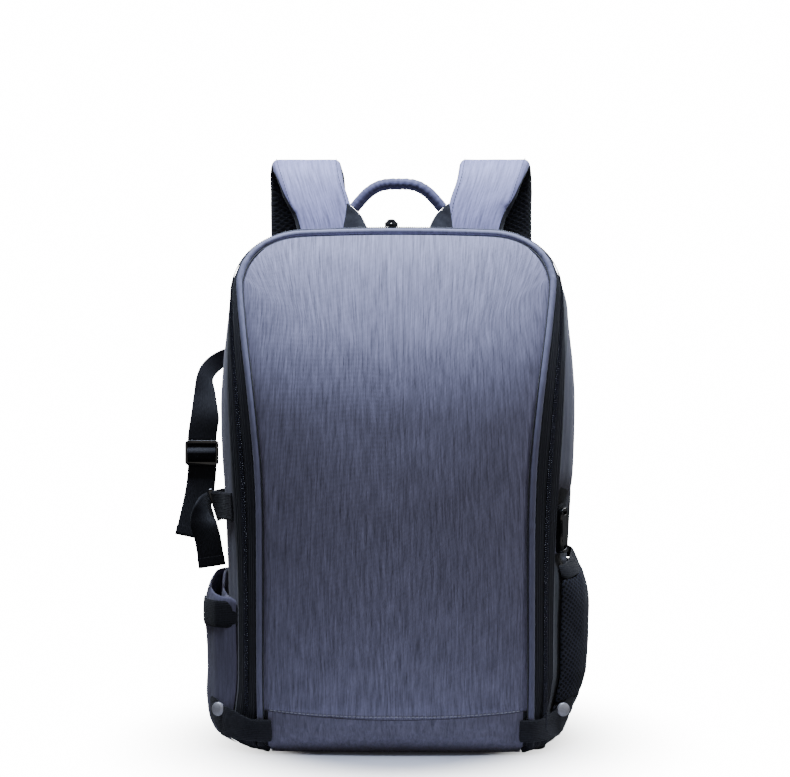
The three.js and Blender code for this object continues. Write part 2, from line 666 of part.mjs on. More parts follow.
function buckleGeometry() {
  const half = buckleWidth / 2;
  const end = buckleLength / 2;
  const round = 3;
  const outline = new THREE.Shape();
  outline.moveTo(-half + round, -end);
  outline.lineTo(half - round, -end);
  outline.quadraticCurveTo(half, -end, half, -end + round);
  outline.quadraticCurveTo(half - round, 0, half, end * 0.35);
  outline.quadraticCurveTo(half, end, half - 2 * round, end);
  outline.lineTo(-half + 2 * round, end);
  outline.quadraticCurveTo(-half, end, -half, end * 0.35);
  outline.quadraticCurveTo(-half + round, 0, -half, -end + round);
  outline.quadraticCurveTo(-half, -end, -half + round, -end);
  const plate = new THREE.ExtrudeGeometry(outline, {
    depth: buckleThickness, bevelEnabled: false, curveSegments: 4,
  });
  const wide = buckleWidth - 10;
  return cutSlots(plate, [
    { wide, low: -end + 3, high: -end + 6 },
    { wide, low: end - 6, high: end - 3 },
  ]);
}

// Turns a flat part so that it lies on the bag: its X axis along wide, its Z axis along out
function lieOn(mesh, centre, wide, out) {
  const up = new THREE.Vector3().crossVectors(out, wide).normalize();
  const side = new THREE.Vector3().crossVectors(up, out).normalize();
  mesh.quaternion.setFromRotationMatrix(new THREE.Matrix4().makeBasis(side, up, out.clone().normalize()));
  mesh.position.copy(centre);
}

const buckleSpot = shellPoint(buckleShare, buckleMiddle);
const buckleAlong = shellPoint(buckleShare + 0.06, buckleMiddle).sub(shellPoint(buckleShare - 0.06, buckleMiddle));
const buckleOut = new THREE.Vector3(buckleAlong.y, -buckleAlong.x, 0).normalize();
const buckle = addPiece('side_buckle', buckleGeometry(), plastic);
lieOn(buckle, buckleSpot.clone().addScaledVector(buckleOut, sideStack + webbingThickness + 1.4),
  buckleAlong.normalize(), buckleOut);

// Frame with two slots around a middle bar
function lockGeometry() {
  const half = lockWidth / 2;
  const end = lockLength / 2;
  const round = 3;
  const outline = new THREE.Shape();
  outline.absarc(half - round, end - round, round, 0, Math.PI / 2);
  outline.absarc(-half + round, end - round, round, Math.PI / 2, Math.PI);
  outline.absarc(-half + round, -end + round, round, Math.PI, 1.5 * Math.PI);
  outline.absarc(half - round, -end + round, round, 1.5 * Math.PI, 2 * Math.PI);
  const plate = new THREE.ExtrudeGeometry(outline, {
    depth: lockThickness, bevelEnabled: false, curveSegments: 3,
  }).translate(0, 0, -lockThickness / 2);
  const wide = lockWidth - 5;
  const near = lockBar / 2;
  const far = end - lockBar;
  return cutSlots(plate, [{ wide, low: near, high: far }, { wide, low: -far, high: -near }]);
}

// Hanging webbing, with its middle line and the direction of its width at each row
function ribbon(rows, width, steps) {
  const curve = curveThrough(rows.map((row) => row.at));
  const turn = curveThrough(rows.map((row) => row.wide));
  return sweep(curve, (t) => turn.getPoint(t), () => flatSection(width, webbingThickness), steps);
}
const vector = (x, y, z) => new THREE.Vector3(x, y, z);

// Webbing through the slots of a frame: in front of the middle bar and behind the outer ones
const weave = lockThickness / 2 + webbingThickness / 2 + 0.5;
const weaveRows = [
  { down: -lockLength / 2 - 3, back: 1 }, { down: lockBar - lockLength / 2 - 0.6, back: 1 },
  { down: -lockBar / 2 + 0.5, back: -1 }, { down: lockBar / 2 - 0.5, back: -1 },
  { down: lockLength / 2 - lockBar + 0.6, back: 1 }, { down: lockLength / 2 + 3, back: 1 },
];

// Row of a strap that lies on the bag's side
function rowOnShell(side, depth, z, lift) {
  const wide = offShell(side, depth, z + 5, 0).sub(offShell(side, depth, z - 5, 0));
  return { at: offShell(side, depth, z, lift), wide: wide.normalize() };
}

// Upper compression strap: sewn to the back seam, turned down, through a frame, to a folded end
const upperRoot = 346;
const glideHeight = 262;
const glideLead = 35;            // straight webbing above and below the frame
const upperEnd = 184;
const hangOut = 182;             // middle of the hanging strap from the bag's middle line
const hangDepth = 21;
addPiece('upper_strap', ribbon([
  rowOnShell(-1, 0.90, upperRoot, 2.0),
  rowOnShell(-1, 0.81, upperRoot, 2.4),
  rowOnShell(-1, 0.73, upperRoot - 1, 4.0),
  { at: vector(-hangOut + 7, hangDepth + 17, upperRoot - 12), wide: vector(-0.6, -0.2, 0.8) },
  { at: vector(-hangOut + 5, hangDepth + 9, upperRoot - 30), wide: vector(-0.95, -0.1, 0.3) },
  { at: vector(-hangOut + 3, hangDepth + 3, glideHeight + glideLead), wide: vector(-1, 0, 0) },
  ...weaveRows.map(({ down, back }) => (
    { at: vector(-hangOut, hangDepth + back * weave, glideHeight - down), wide: vector(-1, 0, 0) })),
  { at: vector(-hangOut - 2, hangDepth + 1, glideHeight - glideLead), wide: vector(-1, 0, -0.05) },
  { at: vector(-hangOut - 11, hangDepth - 4, upperEnd), wide: vector(-1, 0, -0.18) },
], webbingWidth, 48), blackWebbing);
const glide = addPiece('tri_glide', lockGeometry(), plastic);
lieOn(glide, vector(-hangOut, hangDepth, glideHeight), vector(1, 0, 0), vector(0, -1, 0));

// Lower compression strap: tab from the zip band, frame, strap from the back seam and its hanging end
const lowerHeight = 216;
const lockTilt = 0.3;
const lockSpot = offShell(-1, 0.44, lowerHeight, 8.5);
const lockWide = vector(Math.sin(lockTilt), 0, -Math.cos(lockTilt));
const lockOut = vector(-Math.cos(lockTilt), -0.12, -Math.sin(lockTilt));
const lock = addPiece('ladder_lock', lockGeometry(), plastic);
lieOn(lock, lockSpot, lockWide, lockOut);
const strapUp = lockWide.clone().negate();
const nearLock = (x, y, z) => lockSpot.clone().add(vector(x, y, z));
const lockEdge = lockLength / 2 + 0.5;
const lowerEnd = 160;
addPiece('strap_tab', ribbon([
  rowOnShell(-1, 0.125, lowerHeight, 1.5),
  rowOnShell(-1, 0.20, lowerHeight, 1.5),
  rowOnShell(-1, 0.27, lowerHeight, 2.6),
  { at: nearLock(1.4, -lockEdge - 1.1, 0), wide: strapUp },
], webbingWidth, 8), blackWebbing);
addPiece('lower_strap', ribbon([
  rowOnShell(-1, 0.91, lowerHeight, 1.3),
  rowOnShell(-1, 0.81, lowerHeight, 1.8),
  rowOnShell(-1, 0.68, lowerHeight, 3.0),
  { at: nearLock(0.2, lockEdge, 0), wide: strapUp },
], webbingWidth, 10), blackWebbing);
const lockFace = lockOut.clone().multiplyScalar(lockThickness / 2 + webbingThickness / 2 + seamGap);
addPiece('lower_strap_end', ribbon([
  { at: nearLock(-1.1, 5, 0).add(lockFace), wide: strapUp },
  { at: nearLock(-1.3, -4, 0).add(lockFace), wide: strapUp },
  { at: nearLock(-7, -14, -4), wide: vector(-0.5, -0.3, 0.9) },
  { at: nearLock(-8, -19, -14), wide: vector(-0.95, -0.2, 0.4) },
  { at: nearLock(-4, -19, -30), wide: vector(-1, 0, 0) },
  { at: vector(lockSpot.x, lockSpot.y - 17, lowerEnd), wide: vector(-1, 0, 0) },
], webbingWidth - 1, 16), blackWebbing);

// Zip slider on the top, with its pull lying back over the bag
const topRing = bandRings[Math.floor(bandRings.length / 2)];
function sliderShape() {
  const half = sliderLength / 2;
  const outline = new THREE.Shape();
  outline.moveTo(-half, 0);
  outline.lineTo(half, 0);
  outline.lineTo(half, 1.8);
  outline.lineTo(half * 0.7, 3);
  outline.quadraticCurveTo(half * 0.6, sliderHeight, 0, sliderHeight);
  outline.quadraticCurveTo(-half * 0.6, sliderHeight, -half * 0.7, 3);
  outline.lineTo(-half, 1.8);
  const eye = new THREE.Path();
  eye.absarc(0, sliderHeight - 2.9, 1.3, 0, 2 * Math.PI);
  outline.holes.push(eye);
  return outline;
}
const slider = addPiece('zipper_slider', new THREE.ExtrudeGeometry(sliderShape(), {
  depth: sliderWidth, bevelEnabled: false, curveSegments: 5,
}).translate(0, 0, -sliderWidth / 2), plastic);
const sliderSpot = topRing.middle.clone().addScaledVector(topRing.out, zipChainHeight + 2 * seamGap + 0.1);
slider.position.set(-sliderOffset, sliderSpot.y, sliderSpot.z);
const sliderUp = topRing.out.clone();
slider.quaternion.setFromRotationMatrix(new THREE.Matrix4().makeBasis(
  new THREE.Vector3(1, 0, 0), sliderUp, new THREE.Vector3().crossVectors(new THREE.Vector3(1, 0, 0), sliderUp)));
const pullStart = sliderSpot.y + sliderWidth / 2 + 1.2;
addPiece('zipper_pull', loft(range(5).map((t) => {
  const y = pullStart + pullLength * t;
  const z = Math.max(shellTop(y), sliderSpot.z - 0.5 - 2.2 * t) + 0.6;
  const half = (pullWidth / 2) * (t === 1 ? 0.7 : 1);
  return [[-half, 0], [half, 0], [half, pullThickness], [-half, pullThickness]]
    .map(([x, lift]) => vector(-sliderOffset + x, y, z + lift));
})), plastic);

// Carrying handle: wrapped grip between two folded tabs
const tabFoot = Math.max(shellTop(handleDepth - handleTabDepth / 2), shellTop(handleDepth + handleTabDepth / 2))
  + seamGap;
const gripEndZ = tabFoot + handleTabHeight - 4;
const gripCentreTop = gripTop - gripDiameter / 2;
const gripRows = [
  { out: 0.00, rise: 1.00 }, { out: 0.23, rise: 0.99 }, { out: 0.45, rise: 0.90 },
  { out: 0.68, rise: 0.64 }, { out: 0.85, rise: 0.32 }, { out: 1.00, rise: 0.00 },
];
const gripHalf = gripRows.map(({ out, rise }) => [(out * gripSpan) / 2, mix(gripEndZ, gripCentreTop, rise)]);
const gripCurve = curveThrough([
  ...gripHalf.slice(1).reverse().map(([x, z]) => vector(-x, handleDepth, z)),
  ...gripHalf.map(([x, z]) => vector(x, handleDepth, z)),
]);
addPiece('handle_grip', sweep(gripCurve, () => vector(0, 1, 0),
  () => roundSection(gripDiameter, gripDiameter, 10), 24), twill);

function handleTab(side) {
  const outerFoot = handleTabSpan / 2;
  const innerFoot = outerFoot - handleTabWidth;
  const end = gripCurve.getPoint(side < 0 ? 0 : 1);
  const leave = gripCurve.getTangent(side < 0 ? 0 : 1).multiplyScalar(side);
  const seat = end.clone().addScaledVector(leave, seamGap);
  const alongSeat = vector(leave.z, 0, -leave.x);
  const half = gripDiameter / 2 + 3;
  const topOuter = seat.clone().addScaledVector(alongSeat, -side * half);
  const topInner = seat.clone().addScaledVector(alongSeat, side * half);
  const pair = [topOuter, topInner].sort((a, b) => Math.abs(b.x) - Math.abs(a.x));
  const rows = [0, 0.35, 0.7, 1].map((t) => {
    const depth = mix(handleTabDepth, gripDiameter + 2, t ** 0.7) / 2;
    const outer = vector(side * outerFoot, 0, tabFoot).lerp(vector(pair[0].x, 0, pair[0].z), t);
    const inner = vector(side * innerFoot, 0, tabFoot).lerp(vector(pair[1].x, 0, pair[1].z), t);
    return [[outer, -depth], [inner, -depth], [inner, depth], [outer, depth]]
      .map(([point, y]) => vector(point.x, handleDepth + y, point.z));
  });
  return loft(rows);
}
addPiece('handle_tab_left', handleTab(-1), blackWebbing);
addPiece('handle_tab_right', handleTab(1), blackWebbing);

// Shoulder straps: sewn to the back wall, over the top and down to their adjusters
const strapRows = [
  { rise: 0.690, reach: 0.000, spread: 0.00, wide: 0.78, thick: 0.55 },
  { rise: 0.730, reach: 0.010, spread: 0.00, wide: 0.78, thick: 0.90 },
  { rise: 0.800, reach: 0.030, spread: 0.03, wide: 0.78, thick: 1.00 },
  { rise: 0.890, reach: 0.110, spread: 0.45, wide: 0.88, thick: 1.00 },
  { rise: 0.962, reach: 0.270, spread: 0.82, wide: 0.88, thick: 1.00 },
  { rise: 1.000, reach: 0.540, spread: 1.00, wide: 0.89, thick: 1.00 },
  { rise: 0.965, reach: 0.830, spread: 1.00, wide: 0.95, thick: 1.00 },
  { rise: 0.870, reach: 1.000, spread: 1.00, wide: 1.00, thick: 1.00 },
  { rise: 0.640, reach: 1.050, spread: 1.00, wide: 1.00, thick: 1.00 },
  { rise: 0.380, reach: 1.020, spread: 0.98, wide: 0.97, thick: 1.00 },
  { rise: 0.140, reach: 0.930, spread: 0.94, wide: 0.85, thick: 0.95 },
  { rise: 0.000, reach: 0.860, spread: 0.92, wide: 0.48, thick: 0.60 },
];
const strapFace = backReach + seamGap + strapThickness / 2;
const strapLine = strapTop - strapThickness / 2;

function shoulderStrap(side) {
  const curve = curveThrough(strapRows.map((row) => vector(
    (side * mix(strapRootSpacing, strapTopSpacing, row.spread)) / 2,
    strapFace + row.reach * strapReach, mix(strapFoot, strapLine, row.rise))));
  const last = strapRows.length - 1;
  const keyed = strapRows.map((row, i) => ({ ...row, along: i / last }));
  const wide = tableCurve(keyed, 'along', 'wide');
  const thick = tableCurve(keyed, 'along', 'thick');
  const section = (t) => roundSection(strapWidth * wide(t), strapThickness * thick(t), 10, 3.4);
  return { curve, geometry: sweep(curve, () => vector(1, 0, 0), section, 28) };
}

for (const [name, side] of [['left', -1], ['right', 1]]) {
  const strap = shoulderStrap(side);
  addPiece(`shoulder_strap_${name}`, strap.geometry, topTwill);
  const end = strap.curve.getPoint(1);
  const down = strap.curve.getTangent(1);
  const out = vector(0, -down.z, down.y).normalize();
  if (out.y < 0) out.negate();
  const adjuster = addPiece(`strap_adjuster_${name}`, lockGeometry(), plastic);
  const seat = end.clone().addScaledVector(down, lockLength / 2 + seamGap);
  lieOn(adjuster, seat, vector(1, 0, 0), out);
  const anchor = vector((side * anchorSpacing) / 2, backReach + webbingThickness / 2 + 2 * seamGap, anchorHeight);
  addPiece(`strap_webbing_${name}`, ribbon([
    { at: seat.clone().addScaledVector(out, -weave).addScaledVector(down, -1), wide: vector(1, 0, 0) },
    { at: seat.clone().addScaledVector(out, -weave).addScaledVector(down, lockLength / 2), wide: vector(1, 0, 0) },
    { at: seat.clone().lerp(anchor, 0.4).add(vector(0, 6, 0)), wide: vector(1, 0, 0.1) },
    { at: seat.clone().lerp(anchor, 0.8).add(vector(0, 3, 0)), wide: vector(1, 0, 0.16) },
    { at: anchor.clone().add(vector(-side * 2, 0.8, 16)), wide: vector(1, 0, 0.16) },
    { at: anchor, wide: vector(1, 0, 0.16) },
  ], webbingWidth, 18), blackWebbing);
}

// Padded back panel
const padMiddle = (backPadTop + backPadBottom) / 2;
const padHigh = (backPadTop - backPadBottom) / 2;
addPiece('back_pad', loft([[0, 3], [2.5, 0], [backPadThickness - 3, 0], [backPadThickness, 9]].map(([out, inset]) => (
  roundSection(backPadWidth - 2 * inset, 2 * (padHigh - inset), 32, 5)
    .map(([x, z]) => vector(x, backReach + seamGap + out, padMiddle + z))))), padding);

export default bag;
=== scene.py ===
import json
import math

import bmesh
import bpy
import numpy as np
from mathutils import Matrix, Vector, noise

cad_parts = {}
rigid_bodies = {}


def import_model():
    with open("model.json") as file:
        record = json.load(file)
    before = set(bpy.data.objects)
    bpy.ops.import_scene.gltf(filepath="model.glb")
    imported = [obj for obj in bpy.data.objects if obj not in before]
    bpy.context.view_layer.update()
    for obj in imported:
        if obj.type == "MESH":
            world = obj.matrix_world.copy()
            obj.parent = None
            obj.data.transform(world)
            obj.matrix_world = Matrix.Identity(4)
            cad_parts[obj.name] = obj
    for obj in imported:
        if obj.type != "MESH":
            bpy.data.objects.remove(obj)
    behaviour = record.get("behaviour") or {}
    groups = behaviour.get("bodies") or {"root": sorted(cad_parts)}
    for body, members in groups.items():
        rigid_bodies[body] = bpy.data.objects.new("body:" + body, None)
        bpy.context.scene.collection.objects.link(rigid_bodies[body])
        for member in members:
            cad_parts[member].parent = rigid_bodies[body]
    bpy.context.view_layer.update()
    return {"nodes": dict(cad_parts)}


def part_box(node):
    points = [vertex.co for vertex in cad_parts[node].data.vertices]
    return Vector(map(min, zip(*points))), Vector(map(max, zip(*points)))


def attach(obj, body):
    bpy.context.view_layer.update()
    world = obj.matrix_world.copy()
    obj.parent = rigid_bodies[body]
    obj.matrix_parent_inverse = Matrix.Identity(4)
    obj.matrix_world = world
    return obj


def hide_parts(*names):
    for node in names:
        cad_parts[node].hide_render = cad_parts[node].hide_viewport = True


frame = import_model()
bodyName = "root"
mm = 0.001

print("stage: tools")

# Colours

def ink(code, strength=1.0):
    # sRGB hex to a linear colour with alpha
    parts = [int(code[i:i + 2], 16) / 255 for i in (1, 3, 5)]
    linear = [p / 12.92 if p <= 0.04045 else ((p + 0.055) / 1.055) ** 2.4 for p in parts]
    return (*[min(strength * p, 1) for p in linear], 1)


# Shader maths

class Wire:
    # a node's output; arithmetic on it adds Math nodes

    def __init__(self, finish, socket):
        self.finish = finish
        self.socket = socket

    def maths(self, operation, first, second=0.0):
        return self.finish.node("ShaderNodeMath", {"operation": operation}, {0: first, 1: second})

    def __add__(self, other):
        return self.maths("ADD", self, other)

    def __sub__(self, other):
        return self.maths("SUBTRACT", self, other)

    def __rsub__(self, other):
        return self.maths("SUBTRACT", other, self)

    def __mul__(self, other):
        return self.maths("MULTIPLY", self, other)

    def __truediv__(self, other):
        return self.maths("DIVIDE", self, other)

    def __pow__(self, other):
        return self.maths("POWER", self, other)

    __radd__ = __add__
    __rmul__ = __mul__

    def sine(self):
        return self.maths("SINE", self)

    def above(self, edge, soft=0.1):
        # 0 below the edge, 1 above it, with a soft step
        return self.finish.node("ShaderNodeMapRange", {"interpolation_type": "SMOOTHSTEP"},
                                {0: self, 1: edge - soft, 2: edge + soft, 3: 0.0, 4: 1.0})


class Finish:
    # one material; sheen, coat and the like are constants on its shader

    def __init__(self, name, **constants):
        self.material = bpy.data.materials.new(name)
        self.material.use_nodes = True
        self.tree = self.material.node_tree
        self.shader = self.tree.nodes["Principled BSDF"]
        for key, value in constants.items():
            self.shader.inputs[key.replace("_", " ")].default_value = value

    def node(self, kind, settings=None, sockets=None, output=0):
        made = self.tree.nodes.new(kind)
        for key, value in (settings or {}).items():
            setattr(made, key, value)
        for key, value in (sockets or {}).items():
            if isinstance(value, Wire):
                self.tree.links.new(value.socket, made.inputs[key])
            else:
                made.inputs[key].default_value = value
        return Wire(self, made.outputs[output])

    def place(self):
        return self.node("ShaderNodeTexCoord", output=3)

    def lie(self):
        # metres along and across the piece, laid down with its mesh
        return self.node("ShaderNodeAttribute", {"attribute_name": "lie"}, output=1)

    def parts(self, vector):
        made = self.node("ShaderNodeSeparateXYZ", None, {0: vector})
        return [Wire(self, made.socket.node.outputs[i]) for i in range(3)]

    def stretched(self, vector, x, y, z):
        return self.node("ShaderNodeVectorMath", {"operation": "MULTIPLY"}, {0: vector, 1: (x, y, z)})

    def grain(self, vector, scale=1.0, detail=3.0):
        return self.node("ShaderNodeTexNoise", None,
                         {"Vector": vector, "Scale": scale, "Detail": detail, "Roughness": 0.55})

    def blend(self, factor, low, high):
        return self.node("ShaderNodeMix", {"data_type": "RGBA"}, {0: factor, 6: low, 7: high}, output=2)

    def bump(self, height, distance):
        normal = self.node("ShaderNodeBump", None, {"Distance": distance, "Height": height})
        self.tree.links.new(normal.socket, self.shader.inputs["Normal"])

    def feed(self, **sockets):
        for key, value in sockets.items():
            self.tree.links.new(value.socket, self.shader.inputs[key.replace("_", " ")])
        return self.material


# Meshes

def numbersOf(obj, kind="co"):
    data = np.empty(len(obj.data.vertices) * 3)
    obj.data.vertices.foreach_get(kind, data)
    return data.reshape(-1, 3)


def setNumbers(obj, points):
    obj.data.vertices.foreach_set("co", np.ascontiguousarray(points, dtype=np.float64).ravel())
    obj.data.update()


def newObject(name, mesh):
    obj = bpy.data.objects.new(name, mesh)
    bpy.context.scene.collection.objects.link(obj)
    return obj


def layLie(obj, values):
    layer = obj.data.attributes.new("lie", "FLOAT_VECTOR", "POINT")
    flat = np.zeros((len(obj.data.vertices), 3))
    flat[:, :values.shape[-1]] = values.reshape(-1, values.shape[-1])
    layer.data.foreach_set("vector", flat.ravel())


def smooth(obj, angle=40):
    obj.data.shade_smooth()
    obj.data.set_sharp_from_angle(angle=math.radians(angle))


def ringFaces(first, rows, count):
    # faces of a closed tube of rings with both ends capped
    faces = []
    for i in range(rows - 1):
        low, high = first + i * count, first + (i + 1) * count
        for k in range(count):
            m = (k + 1) % count
            faces.append((low + k, low + m, high + m, high + k))
    faces.append(tuple(first + k for k in reversed(range(count))))
    faces.append(tuple(first + (rows - 1) * count + k for k in range(count)))
    return faces


def gridPiece(name, points, lie=None, angle=40):
    # mesh over rows of points; each row is a closed ring
    mesh = bpy.data.meshes.new(name)
    mesh.from_pydata(points.reshape(-1, 3).tolist(), [], ringFaces(0, *points.shape[:2]))
    mesh.update()
    obj = newObject(name, mesh)
    if lie is not None:
        layLie(obj, lie)
    work = bmesh.new()
    work.from_mesh(mesh)
    caps = [face for face in work.faces if len(face.verts) > 4]
    bmesh.ops.triangulate(work, faces=caps)
    bmesh.ops.recalc_face_normals(work, faces=work.faces)
    work.to_mesh(mesh)
    work.free()
    smooth(obj, angle)
    return obj


def refined(points, steps, axis=0, closed=False):
    # smooth rows between the given ones
    rows = np.moveaxis(points, axis, 0)
    count = len(rows)
    out = []
    for i in range(count if closed else count - 1):
        ids = [i - 1, i, i + 1, i + 2]
        if closed:
            a, b, c, d = (rows[j % count] for j in ids)
        else:
            b, c = rows[i], rows[i + 1]
            a = rows[i - 1] if i > 0 else 2 * b - c
            d = rows[i + 2] if i + 2 < count else 2 * c - b
        for s in range(steps):
            t = s / steps
            out.append(0.5 * (2 * b + (c - a) * t + (2 * a - 5 * b + 4 * c - d) * t ** 2
                              + (3 * b - 3 * c + d - a) * t ** 3))
    if not closed:
        out.append(rows[-1])
    return np.moveaxis(np.array(out), 0, axis)


def lengthAlong(line):
    steps = np.linalg.norm(np.diff(line, axis=0), axis=-1)
    return np.concatenate([[0], np.cumsum(steps)])


def pointAt(place, run, line):
    # the point of a line at a length along it
    return np.array([np.interp(place, run, line[:, i]) for i in range(3)])


def ramp(values, start, end):
    # 0 at start, 1 at end and straight between; start may be the larger
    return np.clip((values - start) / (end - start), 0, 1)


def eased(share):
    return share * share * (3 - 2 * share)


def lieOver(points):
    # metres along the middle of the rows and across each row
    along = lengthAlong(points.mean(axis=1))
    across = np.array([lengthAlong(row) for row in points])
    across -= across[:, -1:] / 2
    return np.stack([np.broadcast_to(along[:, None], across.shape), across], axis=-1)


def neighboursOf(vertex):
    # the vertices round this one, in turn
    after = {}
    for loop in vertex.link_loops:
        after[loop.link_loop_next.vert] = loop.link_loop_prev.vert
    around = [next(iter(after))]
    while len(around) < len(after):
        around.append(after[around[-1]])
    return around


def closedRing(vertex, step, count):
    # goes straight on through a mesh of triangles until it is back at the start
    ring = [vertex, step]
    while len(ring) <= count:
        around = neighboursOf(ring[-1])
        if len(around) != 6:
            return None
        ring.append(around[(around.index(ring[-2]) + 3) % 6])
        if ring[-1] is vertex:
            return ring[:-1] if len(ring) == count + 1 else None
    return None


def nextRing(ring):
    # the ring beside this one, or None at a capped end
    sides = []
    for k, vertex in enumerate(ring):
        around = neighboursOf(vertex)
        first = around.index(ring[(k + 1) % len(ring)])
        last = around.index(ring[k - 1])
        sides.append([around[(first + i) % len(around)] for i in range(1, (last - first) % len(around))])
    if any(len(side) != 2 for side in sides):
        return None
    lines = [[side[i] for side in sides] for i in (0, 1)]
    return min(lines, key=lambda line: sum((a.co - b.co).length for a, b in zip(ring, line)))


def cadRings(node, count):
    # rings of a lofted CAD solid, from one end to the other
    work = bmesh.new()
    work.from_mesh(frame["nodes"][node].data)
    bmesh.ops.remove_doubles(work, verts=work.verts, dist=1e-6)
    start = None
    for vertex in work.verts:
        for step in neighboursOf(vertex):
            start = start or closedRing(vertex, step, count)
        if start:
            break
    if start is None:
        raise RuntimeError(f"{node} has no ring of {count} corners")
    rings = [start]
    for way in (1, -1):
        ring = rings[0][::-1] if way < 0 else start
        found = nextRing(ring)
        while found is not None:
            rings = rings + [found] if way > 0 else [found[::-1]] + rings
            found = nextRing(found)
    points = np.array([[tuple(v.co) for v in ring] for ring in rings])
    work.free()
    return points


def turned(rings, start, then, row=None):
    # rolls the ring labels: the first scores highest by start, the next by then
    probe = rings.mean(axis=0) if row is None else rings[row]
    first = int(np.argmax([start(p) for p in probe]))
    count = rings.shape[1]
    forward = then(probe[(first + 1) % count]) > then(probe[first - 1])
    order = [(first + k) % count if forward else (first - k) % count for k in range(count)]
    return rings[:, order]


def bakedMesh(obj):
    # applies every modifier
    graph = bpy.context.evaluated_depsgraph_get()
    graph.update()
    mesh = bpy.data.meshes.new_from_object(obj.evaluated_get(graph))
    obj.modifiers.clear()
    obj.data = mesh


def pieceName(node):
    # zipper_band becomes zipperBand
    first, *rest = node.split("_")
    return first + "".join(part.title() for part in rest)


def cadCopy(node, clean):
    # a CAD solid's mesh with its corners joined, then cleaned up
    mesh = frame["nodes"][node].data.copy()
    work = bmesh.new()
    work.from_mesh(mesh)
    bmesh.ops.remove_doubles(work, verts=work.verts, dist=1e-6)
    clean(work)
    work.to_mesh(mesh)
    work.free()
    obj = newObject(pieceName(node), mesh)
    obj.data.materials.clear()
    return obj


def toQuads(work):
    bmesh.ops.join_triangles(work, faces=work.faces, angle_face_threshold=0.6, angle_shape_threshold=1.2)


def toFlats(work):
    bmesh.ops.dissolve_limit(work, angle_limit=0.02, verts=work.verts, edges=work.edges)


def softCopy(node, levels=2):
    # a CAD solid's mesh in quads, subdivided
    obj = cadCopy(node, toQuads)
    if levels:
        obj.modifiers.new("fine", "SUBSURF").levels = levels
        bakedMesh(obj)
    smooth(obj, 50)
    return obj


def hardCopy(node, edge, steps=2):
    # a moulded CAD solid with its edges rounded
    obj = cadCopy(node, toFlats)
    bevel = obj.modifiers.new("edge", "BEVEL")
    bevel.width = edge
    bevel.segments = steps
    bevel.limit_method = "ANGLE"
    bevel.angle_limit = math.radians(35)
    bevel.use_clamp_overlap = True
    bakedMesh(obj)
    smooth(obj, 40)
    return obj


def lumps(points, size, seed=0.0, octaves=3):
    # smooth noise from -1 to 1 at each point, for a lump size in metres
    shift = Vector((seed * 3.1, seed * 7.7, seed * 5.3))
    return np.array([noise.fractal(Vector(p) / size + shift, 1.0, 2.0, octaves) for p in points])


def push(obj, amount):
    # moves each point along its normal
    setNumbers(obj, numbersOf(obj) + numbersOf(obj, "normal") * amount[:, None])


def swollen(obj, look):
    # inflates a padded piece as cloth, and caps how far each point moves
    if "voxel" in look:
        remesh = obj.modifiers.new("even", "REMESH")
        remesh.mode = "VOXEL"
        remesh.voxel_size = look["voxel"]
        bakedMesh(obj)
    rest = numbersOf(obj)
    cloth = obj.modifiers.new("swell", "CLOTH")
    cloth.settings.use_pressure = True
    cloth.settings.uniform_pressure_force = look["pressure"]
    cloth.settings.effector_weights.gravity = 0
    scene = bpy.context.scene
    for step in range(1, 21):
        scene.frame_set(step)
    bakedMesh(obj)
    scene.frame_set(1)
    shift = numbersOf(obj) - rest
    far = np.linalg.norm(shift, axis=1, keepdims=True) + 1e-12
    setNumbers(obj, rest + shift * np.minimum(1, look["cap"] / far))


def dress(obj, finish, slot, *nodes):
    obj.data.materials.clear()
    obj.data.materials.append(finish)
    if nodes:
        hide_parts(*nodes)
    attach(obj, bodyName)
    return obj


def stitchRow(name, line, out, length, gap, width, finish, slot):
    # a row of small threads along a line; out is the surface direction at each point
    run = lengthAlong(line)
    places = np.arange(gap, run[-1] - gap, length + gap)
    ring = 6
    rows = [(-0.5, 0.25), (-0.32, 0.85), (0.0, 1.0), (0.32, 0.85), (0.5, 0.25)]
    points, faces = [], []
    for place in places:
        centre = pointAt(place, run, line)
        ahead = pointAt(place + length / 2, run, line) - centre
        ahead /= np.linalg.norm(ahead) + 1e-12
        lift = pointAt(place, run, out)
        lift /= np.linalg.norm(lift)
        aside = np.cross(ahead, lift)
        faces += ringFaces(len(points), len(rows), ring)
        for shift, swell in rows:
            for k in range(ring):
                angle = 2 * math.pi * k / ring
                bulge = aside * math.cos(angle) + lift * (math.sin(angle) * 0.8 + 0.3)
                points.append(centre + ahead * shift * length + bulge * swell * width / 2)
    mesh = bpy.data.meshes.new(name)
    mesh.from_pydata([tuple(p) for p in points], [], faces)
    obj = newObject(name, mesh)
    smooth(obj, 60)
    return dress(obj, finish, slot)


# The empty bag's tuck and lean. The shares of a tuck run from 0 at the first place to 1 at the second

leanLook = {"tuck": 9.0 * mm, "tuckLow": (0.150, 0.180), "tuckHigh": (0.245, 0.210),
            "tuckBack": (0.025, -0.020), "tuckSide": (0.135, 0.147), "cornerSide": (0.115, 0.145),
            "height": (0.0, 0.010, 0.022, 0.036, 0.050, 0.065),
            "left": (7.0, 8.0, 7.0, 4.0, 1.5, 0.0),
            "right": (0.0, 4.0, 7.0, 6.0, 2.5, 0.0)}


def tucked(points):
    # the buckle's strap pulls the right side in between the mesh pocket and the upper body
    rise = eased(ramp(points[:, 2], *leanLook["tuckLow"]))
    fall = eased(ramp(points[:, 2], *leanLook["tuckHigh"]))
    forward = ramp(points[:, 1], *leanLook["tuckBack"])
    aside = ramp(points[:, 0], *leanLook["tuckSide"])
    moved = points.copy()
    moved[:, 0] -= leanLook["tuck"] * rise * fall * forward * aside
    return moved


